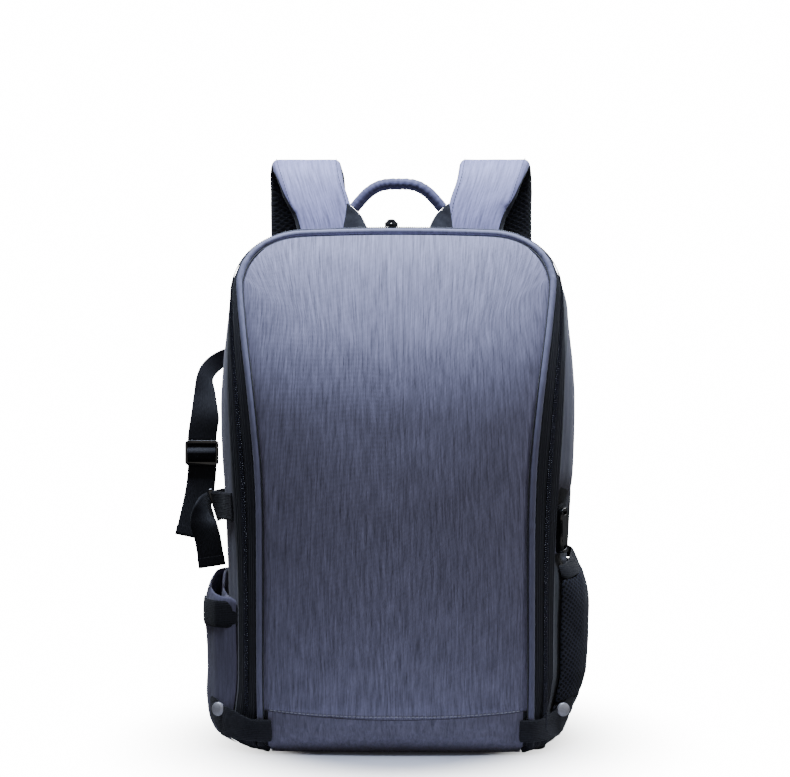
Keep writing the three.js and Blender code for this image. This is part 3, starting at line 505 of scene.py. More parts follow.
def tuck(obj, sink):
    # tucks a piece, and sets it deeper by sink
    points = tucked(numbersOf(obj))
    points[:, 0] -= sink
    setNumbers(obj, points)
    return obj


def heeled(points):
    # both lower corners stand a little to the left; left and right are in mm
    left = np.interp(points[:, 2], leanLook["height"], leanLook["left"])
    right = np.interp(points[:, 2], leanLook["height"], leanLook["right"])
    aside = ramp(np.abs(points[:, 0]), *leanLook["cornerSide"])
    moved = points.copy()
    moved[:, 0] -= np.where(points[:, 0] < 0, left, right) * mm * aside
    return moved


def heel(obj):
    setNumbers(obj, heeled(numbersOf(obj)))
    return obj


print("stage: camera and light")

view = {"turn": 1.3, "distance": 2.0, "height": 0.320, "front": -0.100, "lens": 104.4, "shift": 0.0022}


def makeCamera():
    data = bpy.data.cameras.new("camera")
    data.lens = view["lens"]
    data.sensor_width = 36
    data.shift_y = view["shift"]
    data.clip_end = 60
    camera = newObject("camera", data)
    turn = math.radians(view["turn"])
    camera.location = (view["distance"] * math.sin(turn),
                       view["front"] - view["distance"] * math.cos(turn), view["height"])
    camera.rotation_euler = (math.pi / 2, 0, turn)
    bpy.context.scene.camera = camera


lamps = {
    "key": {"at": (0.0, -0.12, 1.30), "aim": (0.0, -0.06, 0.30), "size": (1.1, 0.30), "power": 36,
            "colour": (0.71, 0.80, 1.0)},
    "front": {"at": (0.0, -3.2, 1.1), "aim": (0.0, 0.0, 0.25), "size": (2.4, 1.8), "power": 6.5,
              "colour": (1.0, 0.95, 0.90)},
    "right": {"at": (1.9, -0.5, 0.7), "aim": (0.1, 0.0, 0.25), "size": (0.15, 1.4), "power": 3,
              "colour": (1.0, 1.0, 1.0)},
    "back": {"at": (0.0, 2.4, 1.2), "aim": (0.0, 0.1, 0.3), "size": (2.4, 1.4), "power": 20,
             "colour": (0.95, 0.97, 1.0)},
}


studioLook = {"dim": (0.93, 0.95, 1, 1), "dimPower": 0.05, "white": 16}


def makeLamps():
    # area lamps, a dim even light, and white behind the bag for the camera alone
    for name, lamp in lamps.items():
        data = bpy.data.lights.new(name, "AREA")
        data.shape = "RECTANGLE"
        data.size, data.size_y = lamp["size"]
        data.energy = lamp["power"]
        data.color = lamp["colour"]
        light = newObject(name, data)
        light.location = lamp["at"]
        aim = Vector(lamp["aim"]) - Vector(lamp["at"])
        light.rotation_euler = aim.to_track_quat("-Z", "Y").to_euler()
    world = bpy.data.worlds.new("studio")
    world.use_nodes = True
    bpy.context.scene.world = world
    tree = world.node_tree
    dim = tree.nodes["Background"]
    dim.inputs[0].default_value = studioLook["dim"]
    dim.inputs[1].default_value = studioLook["dimPower"]
    bright = tree.nodes.new("ShaderNodeBackground")
    bright.inputs[0].default_value = (1, 1, 1, 1)
    bright.inputs[1].default_value = studioLook["white"]
    seen = tree.nodes.new("ShaderNodeLightPath")
    both = tree.nodes.new("ShaderNodeMixShader")
    tree.links.new(seen.outputs["Is Camera Ray"], both.inputs[0])
    tree.links.new(dim.outputs[0], both.inputs[1])
    tree.links.new(bright.outputs[0], both.inputs[2])
    tree.links.new(both.outputs[0], tree.nodes["World Output"].inputs[0])


floorLook = {"half": 3.0, "colour": "#b2b2b6", "wide": 0.20, "deep": 0.30, "middle": 0.02, "soft": 0.5}


def makeFloor():
    # a pale floor round the bag that fades into the white of the studio
    half = floorLook["half"]
    mesh = bpy.data.meshes.new("floor")
    corners = [(-half, -half, 0), (half, -half, 0), (half, half, 0), (-half, half, 0)]
    mesh.from_pydata(corners, [], [(0, 1, 2, 3)])
    obj = newObject("floor", mesh)
    paint = Finish("floorPaint", Roughness=0.9, Base_Color=ink(floorLook["colour"]))
    x, y = paint.parts(paint.place())[:2]
    across = x / floorLook["wide"]
    deep = (y - floorLook["middle"]) / floorLook["deep"]
    far = (across * across + deep * deep) ** 0.5
    clear = paint.node("ShaderNodeBsdfTransparent")
    fade = paint.node("ShaderNodeMixShader", None, {0: far.above(1.0, floorLook["soft"]), 2: clear})
    paint.tree.links.new(paint.shader.outputs[0], fade.socket.node.inputs[1])
    paint.tree.links.new(fade.socket, paint.tree.nodes["Material Output"].inputs[0])
    obj.data.materials.append(paint.material)


makeCamera()
makeLamps()
makeFloor()

print("stage: finishes")

twillLook = {"broad": 0.85, "streak": 0.90, "fine": 0.45, "weave": 0.02, "patch": 0.10, "sheen": 0.2,
             "broadSize": (26, 360), "coarseSize": (55, 760), "thinSize": (170, 2100),
             "dark": 0.35, "light": 1.9, "bump": 0.14 * mm, "trim": "#0e0f18"}


def twillFinish(name, colour, streak=1.0, flat=False, roughness=0.62):
    # heathered twill with upright streaks; where the third lie value is over 0.5 it is black tape
    cloth = Finish(name, Roughness=roughness, Sheen_Weight=twillLook["sheen"],
                   Sheen_Roughness=0.45, Specular_IOR_Level=0.35)
    where = cloth.place()
    trim = cloth.parts(cloth.lie())[2]
    if flat:
        where = cloth.stretched(cloth.lie(), 1, 1, 0)

    def streaks(length, width):
        scale = (length, width, width) if flat else (width, width, length)
        return cloth.grain(cloth.stretched(where, *scale), 1.0, 2.0)

    broad = streaks(*twillLook["broadSize"]) - 0.5
    coarse = streaks(*twillLook["coarseSize"]) - 0.5
    thin = streaks(*twillLook["thinSize"]) - 0.5
    patch = cloth.grain(where, 14.0, 2.0) - 0.5
    x, y, z = cloth.parts(where)
    weave = ((x + y * 0.7 + z * 1.3) * 5200).sine() * ((x * 0.9 + y - z) * 4300).sine()
    tone = broad * (twillLook["broad"] * streak) + coarse * (twillLook["streak"] * streak)
    tone = tone + thin * (twillLook["fine"] * streak) + weave * twillLook["weave"]
    tone = tone + patch * twillLook["patch"]
    base = cloth.blend(tone + 0.42, ink(colour, twillLook["dark"]), ink(colour, twillLook["light"]))
    black = trim.above(0.5, 0.15)
    tape = cloth.blend(thin + 0.5, ink(twillLook["trim"], 0.5), ink(twillLook["trim"], 1.8))
    base = cloth.blend(black, base, tape)
    cloth.bump(broad * 0.3 + coarse * 0.6 + thin * 0.5 + weave * 0.12, twillLook["bump"])
    rough = thin * 0.2 + roughness
    return cloth.feed(Base_Color=base, Roughness=rough)


def ribbedFinish(name, colour, pitch, direction="across", roughness=0.62, height=0.00025, pale=2.6):
    # black tape or webbing: ribs along its length and small cross threads
    cloth = Finish(name, Roughness=roughness, Sheen_Weight=0.15, Sheen_Roughness=0.5,
                   Specular_IOR_Level=0.4)
    if direction == "across":
        x, y, z = cloth.parts(cloth.lie())
        along, over = x, y
    else:
        x, y, z = cloth.parts(cloth.place())
        along, over = x + y, z
    rib = (over * (2 * math.pi / pitch)).sine() * 0.5 + 0.5
    thread = (along * (2 * math.pi / 0.0011)).sine() * 0.5 + 0.5
    dust = cloth.grain(cloth.place(), 260.0, 3.0)
    worn = cloth.grain(cloth.place(), 38.0, 3.0)
    tone = rib * 0.35 + thread * 0.15 + dust * 0.25 + worn * 0.25
    base = cloth.blend(tone, ink(colour, 0.55), ink(colour, pale))
    cloth.bump(rib * 0.8 + thread * 0.35 + dust * 0.3, height)
    rough = (dust - 0.5) * 0.3 + roughness
    return cloth.feed(Base_Color=base, Roughness=rough)


def meshFinish(name, colour, cell, pale=3.0, height=0.0005):
    # knitted mesh: rows of small round openings, painted dark inside as the shade seen through them
    cloth = Finish(name, Roughness=0.7, Sheen_Weight=0.1, Specular_IOR_Level=0.3)
    x, y, z = cloth.parts(cloth.place())
    turn = math.pi / cell
    sway = cloth.grain(cloth.place(), 55.0, 1.0) * 3.0
    over = x * 0.8 + y * 0.9
    rise = ((z + over * 0.55) * turn * 2 + sway).sine()
    fall = ((z * 0.9 - over) * turn * 1.6 + sway * 0.6).sine()
    opening = (rise * 0.5 + 0.5) * (fall * 0.5 + 0.5)
    thread = 1 - opening.above(0.22, 0.14)
    fuzz = cloth.grain(cloth.place(), 420.0, 3.0)
    speck = fuzz.above(0.66, 0.05)
    tone = thread * 0.45 + thread * fuzz * 0.35 + speck * thread * 0.5
    # the openings take the dark end: painted shade in place of real holes
    base = cloth.blend(tone, ink(colour, 0.12), ink(colour, pale))
    cloth.bump(thread * 1.0 + fuzz * 0.2, height)
    return cloth.feed(Base_Color=base)


def plasticFinish(name, colour, roughness=0.25, coat=0.4):
    # moulded plastic with light scuffs
    plastic = Finish(name, Roughness=roughness, Coat_Weight=coat, Coat_Roughness=0.12)
    cloud = plastic.grain(plastic.place(), 130.0, 4.0)
    scuff = plastic.grain(plastic.stretched(plastic.place(), 900, 300, 900), 1.0, 3.0)
    base = plastic.blend(cloud, ink(colour, 0.7), ink(colour, 1.6))
    plastic.bump(cloud * 0.5 + scuff * 0.5, 0.00003)
    rough = (scuff - 0.5) * 0.25 + roughness
    return plastic.feed(Base_Color=base, Roughness=rough)


def metalFinish(name, colour, roughness=0.38):
    # matt plated rivet with fine turning marks
    metal = Finish(name, Roughness=roughness, Metallic=0.55)
    marks = metal.grain(metal.stretched(metal.place(), 500, 500, 1600), 1.0, 3.0)
    cloud = metal.grain(metal.place(), 300.0, 3.0)
    base = metal.blend(cloud * 0.6 + marks * 0.4, ink(colour, 0.6), ink(colour, 1.35))
    metal.bump(marks, 0.00003)
    rough = (cloud - 0.5) * 0.3 + roughness
    return metal.feed(Base_Color=base, Roughness=rough)


def threadFinish(name, colour):
    thread = Finish(name, Roughness=0.6, Sheen_Weight=0.3)
    ply = thread.grain(thread.stretched(thread.place(), 2600, 2600, 2600), 1.0, 2.0)
    base = thread.blend(ply, ink(colour, 0.6), ink(colour, 1.3))
    thread.bump(ply, 0.00008)
    return thread.feed(Base_Color=base)


greyTwill = "#88869f"
twillPanel = twillFinish("twillPanel", greyTwill, flat=True)
twillBase = twillFinish("twillBase", "#7a778c", 0.7)
twillSide = twillFinish("twillSide", "#626071", 0.7)
twillPocket = twillFinish("twillPocket", "#706e84", 0.6)
twillTrim = twillFinish("twillTrim", "#7a7a92", 0.4)
twillStrap = twillFinish("twillStrap", "#8a88ac", 0.8, flat=True)
twillGrip = twillFinish("twillGrip", "#5b5a78", 0.6, flat=True)
bandTape = ribbedFinish("bandTape", "#0c0d16", 2.2 * mm, pale=2.4)
webbing = ribbedFinish("webbing", "#0c0d15", 1.5 * mm, pale=2.2)
sideWebbing = ribbedFinish("sideWebbing", "#0d0e16", 1.6 * mm, "up", pale=2.2)
tabCloth = ribbedFinish("tabCloth", "#0d0f18", 0.8 * mm, "up", 0.75, 0.0001)
patchTape = ribbedFinish("patchTape", "#0a0b10", 0.9 * mm, "up", 0.8)
coilNylon = plasticFinish("coilNylon", "#2b2d3b", 0.3, 0.5)
blackMesh = meshFinish("blackMesh", "#16171f", 4.4 * mm, 6.5)
padMesh = meshFinish("padMesh", "#13141b", 4.6 * mm, 3.0, 0.0008)
bootCoated = twillFinish("bootCoated", "#33343f", 0.3, roughness=0.36)
moulded = plasticFinish("moulded", "#0b0b0e", 0.2, 0.7)
pullRubber = plasticFinish("pullRubber", "#131318", 0.5, 0.0)
sliderMetal = plasticFinish("sliderMetal", "#15161a", 0.3, 0.5)
rivetMetal = metalFinish("rivetMetal", "#dddce2", 0.5)
# pale grey thread; on the flap seam it is also a painted highlight along the seam fold
threadAndSeamHighlight = threadFinish("threadAndSeamHighlight", "#c9cbd8")
darkThread = threadFinish("darkThread", "#3a3c4a")
# near-black colour of the cord that is painted shadow in the seam under the piping
seamShade = threadFinish("seamShade", "#14151f")

print("stage: flap and base")

flapLook = {"rows": 8, "columns": 10, "ripple": 0.5 * mm, "pucker": 0.45 * mm, "seamLift": 2.6 * mm}


def bothSides(rings, look):
    # the two faces of a panel's rings, refined: corners 0 to 12 and 13 to 25
    sides = rings[:, :13], rings[:, 13:]
    return [refined(refined(side, look["rows"]), look["columns"], 1) for side in sides]


def makeFlap():
    rings = turned(cadRings("front_panel", 26), lambda p: -10 * p[0] - p[1], lambda p: p[0])
    if rings[0, :, 2].mean() > rings[-1, :, 2].mean():
        rings = rings[::-1]
    outer, inner = bothSides(rings, flapLook)
    rows, count = outer.shape[:2]
    share = np.linspace(-1, 1, count)[None, :]
    rise = np.linspace(0, 1, rows)[:, None]
    flat = outer.reshape(-1, 3)
    wave = lumps(flat * (1, 1, 0.45), 0.055, 2.0).reshape(rows, count)
    lowWave = lumps(flat * (0.5, 1, 1.5), 0.03, 5.0).reshape(rows, count)
    edge = np.exp(-((1 - np.abs(share)) / 0.05) ** 2)
    foot = np.exp(-(rise / 0.02) ** 2)
    outer[:, :, 1] += flapLook["ripple"] * wave * (1 - 0.7 * edge)
    outer[:, :, 1] += flapLook["pucker"] * lowWave * np.exp(-(rise / 0.08) ** 2)
    outer[:, :, 1] += 0.9 * mm * foot + 1.2 * mm * edge ** 2
    whole = np.concatenate([outer, inner], axis=1)
    lie = np.concatenate([lieOver(outer), lieOver(inner)], axis=1)
    flap = gridPiece("frontPanel", whole, lie)
    dress(flap, twillPanel, "twill_panel", "front_panel")
    height = outer[:, count // 2, 2]
    row = int(np.argmin(np.abs(height - height[0] - flapLook["seamLift"])))
    line = outer[row, 3:-3] + (0, -0.35 * mm, 0)
    out = np.tile((0.0, -1.0, 0.0), (len(line), 1))
    # real stitching, made pale so it also serves as a painted highlight along the seam fold
    stitchRow("flapStitch", line, out, 3.2 * mm, 0.5 * mm, 0.9 * mm, threadAndSeamHighlight, "twill_panel")


baseLook = {"rows": 6, "columns": 8, "crease": 0.9 * mm, "fine": 0.25 * mm, "corner": 111.5 * mm,
            "foot": (0.0, 0.012), "top": (0.030, 0.024)}


def makeBase():
    rings = turned(cadRings("bottom_panel", 26), lambda p: -10 * p[0] - 0.5 * p[2], lambda p: p[0])
    if rings[0, :, 2].mean() < rings[-1, :, 2].mean():
        rings = rings[::-1]
    outer, inner = sorted(bothSides(rings, baseLook), key=lambda side: side[0, :, 1].mean())
    rows, count = outer.shape[:2]
    flat = outer.reshape(-1, 3)
    crease = lumps(flat * (1, 1, 2.6), 0.035, 9.0, 4).reshape(rows, count)
    fine = lumps(flat * (2.2, 1, 1), 0.012, 4.0).reshape(rows, count)
    standing = ramp(outer[:, :, 2], *baseLook["foot"]) * ramp(outer[:, :, 2], *baseLook["top"])
    outer[:, :, 1] += (baseLook["crease"] * crease + baseLook["fine"] * fine) * standing
    whole = np.concatenate([outer, inner], axis=1)
    lie = np.concatenate([lieOver(outer), lieOver(inner)], axis=1)
    corner = np.clip((np.abs(whole[:, :, :1]) - baseLook["corner"]) / mm, -5, 5)
    base = gridPiece("bottomPanel", whole, np.concatenate([lie, corner], axis=-1))
    dress(base, twillBase, "twill_base", "bottom_panel")


makeFlap()
makeBase()

print("stage: piping, zip band and chain")

trimLook = {"ringSteps": 3, "rowSteps": 12, "wrinkle": 0.05, "ribHeight": 0.35 * mm, "ribs": 9,
            "tooth": 1.9 * mm, "toothHeight": 1.0 * mm, "chainFoot": 12 * mm, "chainLift": 0.6 * mm,
            "coilGap": 1.25 * mm,
            "flapHeart": 0.22, "seam": 0.9 * mm, "cordEnd": 26 * mm}


def makePiping():
    rings = cadRings("piping", 8)
    fine = refined(refined(rings, trimLook["rowSteps"]), trimLook["ringSteps"], 1, True)
    centre = fine.mean(axis=1, keepdims=True)
    run = lengthAlong(centre[:, 0])
    twist = lumps(np.stack([run / 1, run * 0, run * 0], axis=1), 0.006, 3.0, 2)[:, None, None]
    fine = centre + (fine - centre) * (1.0 + trimLook["wrinkle"] * twist)
    low = np.clip((trimLook["cordEnd"] - fine[:, :, 2]) / mm, -5, 5)
    around = np.linspace(0, 0.019, fine.shape[1])[None, :]
    lie = np.stack([np.broadcast_to(run[:, None], low.shape), np.broadcast_to(around, low.shape), low],
                   axis=-1)
    dress(gridPiece("piping", fine, lie), twillTrim, "twill_piping", "piping")
    # a near-black cord laid where the flap meets the cord: painted shadow under the piping
    middle = centre[:, 0]
    radius = np.linalg.norm(fine - centre, axis=-1).mean()
    inwards = np.array([0, 0, trimLook["flapHeart"]]) - middle
    inwards[:, 1] = 0
    inwards[:, 2] *= 0.5
    inwards /= np.linalg.norm(inwards, axis=1, keepdims=True)
    seam = middle + inwards * (radius + 0.5 * mm) + (0, -0.55 * radius, 0)
    angle = np.linspace(0, 2 * math.pi, 8, endpoint=False)
    thick = trimLook["seam"]
    ring = np.stack([inwards * math.cos(a) + np.array([0, math.sin(a), 0]) for a in angle], axis=1)
    dress(gridPiece("pipingSeamShadow", seam[:, None] + ring * thick, None), seamShade, "twill_piping")


def makeBand():
    rings = turned(cadRings("zipper_band", 6), lambda p: -p[1], lambda p: p[1], row=25)
    outer = refined(refined(rings[:, :3], trimLook["rowSteps"]), 22, 1)
    inner = refined(rings[:, 3:], trimLook["rowSteps"])
    along = np.gradient(outer.mean(axis=1), axis=0)[:, None]
    over = np.gradient(outer, axis=1)
    out = np.cross(np.broadcast_to(along, over.shape), over)
    out /= np.linalg.norm(out, axis=-1, keepdims=True) + 1e-12
    if out[len(outer) // 2, 22, 2] < 0:
        out = -out
    share = np.linspace(0, 1, outer.shape[1])[None, :]
    ribs = np.abs(np.sin(share * math.pi * trimLook["ribs"])) ** 0.7
    flatten = 1 - np.exp(-((share - 0.5) / 0.13) ** 4)
    lift = trimLook["ribHeight"] * ribs * flatten - 0.5 * mm * np.exp(-((share - 0.5) / 0.11) ** 2)
    outer = outer + out * lift[..., None]
    lie = np.concatenate([lieOver(outer), np.repeat(lieOver(outer)[:, :1], inner.shape[1], axis=1)], axis=1)
    whole = np.concatenate([outer, inner], axis=1)
    band = heel(gridPiece("zipperBand", whole, lie))
    dress(band, bandTape, "black_tape", "zipper_band")


def makeChain():
    # two rows of coil turns along the middle of the band
    band = turned(cadRings("zipper_band", 6), lambda p: -p[1], lambda p: p[1], row=25)
    band = band[band[:, 1, 2] > trimLook["chainFoot"]]
    middle = refined(band[:, 1], 10)
    across = refined(band[:, 2] - band[:, 0], 10)
    run = lengthAlong(middle)
    pitch = trimLook["tooth"]
    high = trimLook["toothHeight"]
    shape = [(-0.5, 0.0), (-0.32, 0.75), (0.0, 1.0), (0.32, 0.75), (0.5, 0.0)]
    reaches = (-1.35, -0.9, 0.9, 1.35)
    points, faces = [], []
    for place in np.arange(pitch, run[-1] - pitch, pitch):
        spot = pointAt(place, run, middle)
        wide = pointAt(place, run, across)
        ahead = pointAt(place + pitch / 2, run, middle) - spot
        wide /= np.linalg.norm(wide)
        ahead /= np.linalg.norm(ahead)
        out = np.cross(ahead, wide)
        if np.dot(out, spot - np.array([0, 0, 0.2])) < 0:
            out = -out
        for side in (-1, 1):
            start = spot + wide * side * trimLook["coilGap"] + ahead * (0.25 * pitch * side)
            start = start + out * trimLook["chainLift"]
            faces += ringFaces(len(points), len(reaches), len(shape))
            for reach in reaches:
                narrow, flat = (0.55, 0.6) if abs(reach) > 1 else (1.0, 1.0)
                for step, rise in shape:
                    points.append(start + wide * reach * mm + ahead * step * pitch * 0.8 * narrow
                                  + out * rise * high * flat)
    mesh = bpy.data.meshes.new("zipperChain")
    mesh.from_pydata([tuple(p) for p in points], [], faces)
    chain = newObject("zipperChain", mesh)
    smooth(chain, 50)
    dress(chain, coilNylon, "zip_chain", "zipper_chain")


makePiping()
makeBand()
makeChain()

print("stage: main shell")

shellLook = {"rowSteps": 5, "ringSteps": 4, "sag": 1.6 * mm, "crease": 0.7 * mm, "seamDip": 0.8 * mm,
             "binding": 4 * mm, "shoulder": (0.350, 0.380), "shoulderWide": 20 * mm,
             "patchTop": (0.231, 0.227), "patchLow": (0.165, 0.169), "patchWide": 55 * mm,
             "cornerTop": (0.040, 0.036), "sideWide": 45 * mm,
             "slim": 2.0 * mm, "lining": (0.97, 1.0, 0.985), "standing": (0.006, 0.036)}


def makeShell():
    rings = turned(cadRings("main_shell", 56), lambda p: -p[2] - abs(p[0]), lambda p: p[0])
    if rings[0, :, 1].mean() > rings[-1, :, 1].mean():
        rings = rings[::-1]
    inner, outer = rings[:6], rings[6:]
    fine = refined(refined(outer, shellLook["rowSteps"]), shellLook["ringSteps"], 1, True)
    inside = refined(inner, shellLook["ringSteps"], 1, True) * shellLook["lining"]
    inside = heeled(tucked(inside.reshape(-1, 3))).reshape(inside.shape)
    centre = np.array([0, 0.01, 0.22])
    rows, count = fine.shape[:2]
    flat = fine.reshape(-1, 3)
    out = flat - centre
    out[:, 1] *= 0.2
    out /= np.linalg.norm(out, axis=1, keepdims=True)
    broad = lumps(flat * (1, 1.3, 0.8), 0.11, 1.0, 2)
    crease = lumps(flat * (1, 2.4, 1.0), 0.04, 6.0, 3)
    standing = ramp(flat[:, 2], *shellLook["standing"])
    backward = np.repeat(np.linspace(0, 1, rows), count)
    inwards = (shellLook["sag"] * (broad - 0.25) + shellLook["crease"] * crease) * standing
    inwards *= ramp(backward, 0, 0.06) * ramp(backward, 1, 0.9)
    seam = shellLook["seamDip"] * np.exp(-((backward - 0.70) / 0.012) ** 2)
    slim = shellLook["slim"] * standing * ramp(backward, 0, 0.2)
    flat += out * (np.minimum(inwards, 0.4 * mm) - seam * standing - slim)[:, None]
    flat = heeled(tucked(flat))
    # black binding along the front edge, wider over the shoulder, at the mesh pocket, behind the
    # buckle and at both lower corners
    fromFront = np.cumsum(np.linalg.norm(np.diff(fine, axis=0, prepend=fine[:1]), axis=-1), axis=0)
    height = fine[:, :, 2]
    over = ramp(height, *shellLook["shoulder"])
    pocket = ramp(height, *shellLook["patchTop"]) * (fine[:, :, 0] > 0)
    corner = ramp(height, *shellLook["cornerTop"])
    patch = pocket * ramp(height, *shellLook["patchLow"])
    wide = shellLook["binding"] + over * shellLook["shoulderWide"] + patch * shellLook["patchWide"]
    wide = wide + np.maximum(pocket, corner) * shellLook["sideWide"]
    trim = np.clip((wide - fromFront) / mm, -5, 5)
    whole = np.concatenate([inside, flat.reshape(rows, count, 3)], axis=0)
    shell = gridPiece("mainShell", whole, None)
    outside = np.concatenate([lieOver(fine), trim[..., None]], axis=-1)
    within = np.concatenate([lieOver(inside), np.full((*inside.shape[:2], 1), -5.0)], axis=-1)
    within[-1, :, 2] = 5
    layLie(shell, np.concatenate([within, outside], axis=0))
    dress(shell, twillSide, "twill", "main_shell")


makeShell()

print("stage: pockets")

pocketLook = {"ringSteps": 4, "sag": 1.4 * mm, "fold": 0.4 * mm, "swell": 4.0 * mm,
              "outside": (0.158, 0.164), "swellSide": (0.140, 0.160), "swellFoot": (0.0, 0.05),
              "swellTop": (0.158, 0.128), "meshWave": 1.2 * mm, "bootFold": 1.3 * mm,
              "mouthPull": 9.0 * mm, "mouth": (0.120, 0.175), "mouthSide": (0.146, 0.164)}


def makeTripodPocket():
    rings = cadRings("tripod_pocket", 20)
    if rings[0, :, 2].mean() > rings[-1, :, 2].mean():
        rings = rings[::-1]
    fine = refined(refined(rings, 3), pocketLook["ringSteps"], 1, True)
    pocket = gridPiece("tripodPocket", fine, lieOver(fine), angle=70)
    points = numbersOf(pocket)
    outside = ramp(-points[:, 0], *pocketLook["outside"])
    wave = lumps(points * (1, 1, 0.7), 0.035, 12.0, 3)
    fold = lumps(points * (1, 2.4, 0.8), 0.018, 13.0, 2)
    points[:, 0] += outside * (pocketLook["sag"] * np.maximum(wave, -0.4) + pocketLook["fold"] * fold)
    swell = ramp(points[:, 2], *pocketLook["swellFoot"]) * ramp(points[:, 2], *pocketLook["swellTop"])
    points[:, 0] -= pocketLook["swell"] * swell * ramp(-points[:, 0], *pocketLook["swellSide"])
    setNumbers(pocket, points)
    dress(heel(pocket), twillPocket, "twill_pocket", "tripod_pocket")


def gathered(obj):
    # the elastic pulls the pocket's mouth in to the body
    points = numbersOf(obj)
    pull = ramp(points[:, 2], *pocketLook["mouth"]) ** 2
    aside = ramp(points[:, 0], *pocketLook["mouthSide"])
    points[:, 0] -= pocketLook["mouthPull"] * pull * aside
    setNumbers(obj, tucked(points))
    return obj


def makeMeshPocket():
    boot = softCopy("pocket_boot", 3)
    folds = lumps(numbersOf(boot) * (1, 1, 2.2), 0.022, 4.0, 3)
    push(boot, pocketLook["bootFold"] * np.minimum(folds, 0.25))
    dress(heel(boot), bootCoated, "boot_cloth", "pocket_boot")
    net = gathered(softCopy("mesh_pocket", 3))
    waves = lumps(numbersOf(net) * (1, 2.0, 0.7), 0.03, 6.0, 3)
    push(net, pocketLook["meshWave"] * np.minimum(waves, 0.25))
    dress(heel(net), blackMesh, "mesh", "mesh_pocket")
    hem = gathered(softCopy("mesh_pocket_hem"))
    dress(hem, sideWebbing, "elastic_hem", "mesh_pocket_hem")


makeTripodPocket()
makeMeshPocket()

print("stage: webbing")

webLook = {"rowSteps": 3, "glideFill": 1.07, "hem": 2.6, "hemLength": 9 * mm, "strapReach": 9 * mm,
           "strapForward": 2.5 * mm, "strapFront": (-0.158, -0.148), "cornerRise": 8 * mm,
           "cornerSide": (0.128, 0.150), "cornerFoot": (0.012, 0.032), "foldFrom": (0.295, 0.330),
           "fold": 0.38, "across": 15, "tabSink": 2 * mm, "patchSink": 3 * mm, "strapSink": 2 * mm}


def webStrip(node, wider=1.0, hem=None, fold=0.0):
    # a strap rebuilt from its four-cornered rings, with rounded selvedges; hem is how much thicker
    # the lower free end is, and fold the share of the width turned under at the top
    rings = cadRings(node, 4)
    pairs = np.linalg.norm(rings[:, 0] - rings[:, 1], axis=-1).mean() \
        > np.linalg.norm(rings[:, 1] - rings[:, 2], axis=-1).mean()
    if not pairs:
        rings = np.roll(rings, 1, axis=1)
    rings = refined(rings, webLook["rowSteps"])
    left = (rings[:, 0] + rings[:, 3]) / 2
    right = (rings[:, 1] + rings[:, 2]) / 2
    middle = (left + right) / 2
    wide = (right - left) / 2 * wider
    high = (rings[:, 3] - rings[:, 0]) / 2
    if fold:
        turnedIn = fold * ramp(middle[:, 2], *webLook["foldFrom"])[:, None]
        middle = middle + wide * turnedIn * np.where(wide[:, :1] < 0, 1, -1)
        wide = wide * (1 - turnedIn)
    if hem:
        if middle[0, 2] < middle[-1, 2]:
            middle, wide, high = middle[::-1], wide[::-1], high[::-1]
        run = lengthAlong(middle)
        extra = run[-1] - webLook["hemLength"]
        keep = run < extra - 0.1 * mm
        rows = np.concatenate([run[keep], [extra - 0.1 * mm, extra], np.linspace(extra, run[-1], 7)[1:]])
        middle, wide, high = (np.stack([np.interp(rows, run, part[:, i]) for i in range(3)], axis=1)
                              for part in (middle, wide, high))
        fat = np.where(rows > extra - 0.05 * mm, hem, 1.0)
        fat[-1] = hem * 0.6
        high = high * fat[:, None]
        wide = wide * np.where(rows > extra - 0.05 * mm, 1.03, 1.0)[:, None]
    shares = np.linspace(-0.97, 0.97, webLook["across"])
    profile = [(share, -1.0) for share in shares] + [(1.0, -0.5), (1.0, 0.5)]
    profile += [(-share, 1.0) for share in shares] + [(-1.0, 0.5), (-1.0, -0.5)]
    points = np.stack([middle + wide * a + high * b for a, b in profile], axis=1)
    run = lengthAlong(middle)
    half = np.linalg.norm(wide, axis=1)
    lie = np.stack([np.stack([run, half * a], axis=-1) for a, b in profile], axis=1)
    strip = gridPiece(pieceName(node), points, lie, angle=50)
    return dress(strip, webbing, "black_webbing", node)


def makeWebbing():
    webStrip("upper_strap", webLook["glideFill"], webLook["hem"], webLook["fold"])
    webStrip("strap_tab")
    webStrip("lower_strap")
    webStrip("lower_strap_end", 1.0, webLook["hem"])
    webStrip("strap_webbing_left")
    webStrip("strap_webbing_right")


def makeSideStraps():
    for node in ("corner_strap_left", "corner_strap_right"):
        strap = heel(softCopy(node))
        points = numbersOf(strap)
        raised = ramp(np.abs(points[:, 0]), *webLook["cornerSide"])
        points[:, 2] += webLook["cornerRise"] * raised * ramp(points[:, 2], *webLook["cornerFoot"])
        setNumbers(strap, points)
        dress(strap, sideWebbing, "black_webbing", node)
    tab = tuck(softCopy("buckle_tab"), webLook["tabSink"])
    dress(tab, sideWebbing, "black_webbing", "buckle_tab")
    strap = softCopy("pocket_strap", 3)
    points = numbersOf(strap)
    front = ramp(points[:, 0], *webLook["strapFront"])
    points[:, 0] += webLook["strapReach"] * front
    points[:, 1] -= webLook["strapForward"] * front
    points[:, 0] -= pocketLook["swell"] * (1 - front)
    setNumbers(strap, points)
    dress(strap, sideWebbing, "black_webbing", "pocket_strap")
    patch = tuck(softCopy("side_patch"), webLook["patchSink"])
    dress(patch, patchTape, "black_tape", "side_patch")
    strap = tuck(softCopy("buckle_strap"), webLook["strapSink"])
    dress(strap, twillSide, "grey_strap", "buckle_strap")


makeWebbing()
makeSideStraps()

print("stage: hardware")

rivetLook = {"radius": 6.2 * mm, "dome": 1.6 * mm, "rim": 0.7 * mm, "forward": 9 * mm, "rise": 8 * mm,
             "inward": {"left": 1 * mm, "right": 13 * mm}, "facing": 0.42, "sink": 0.4 * mm}


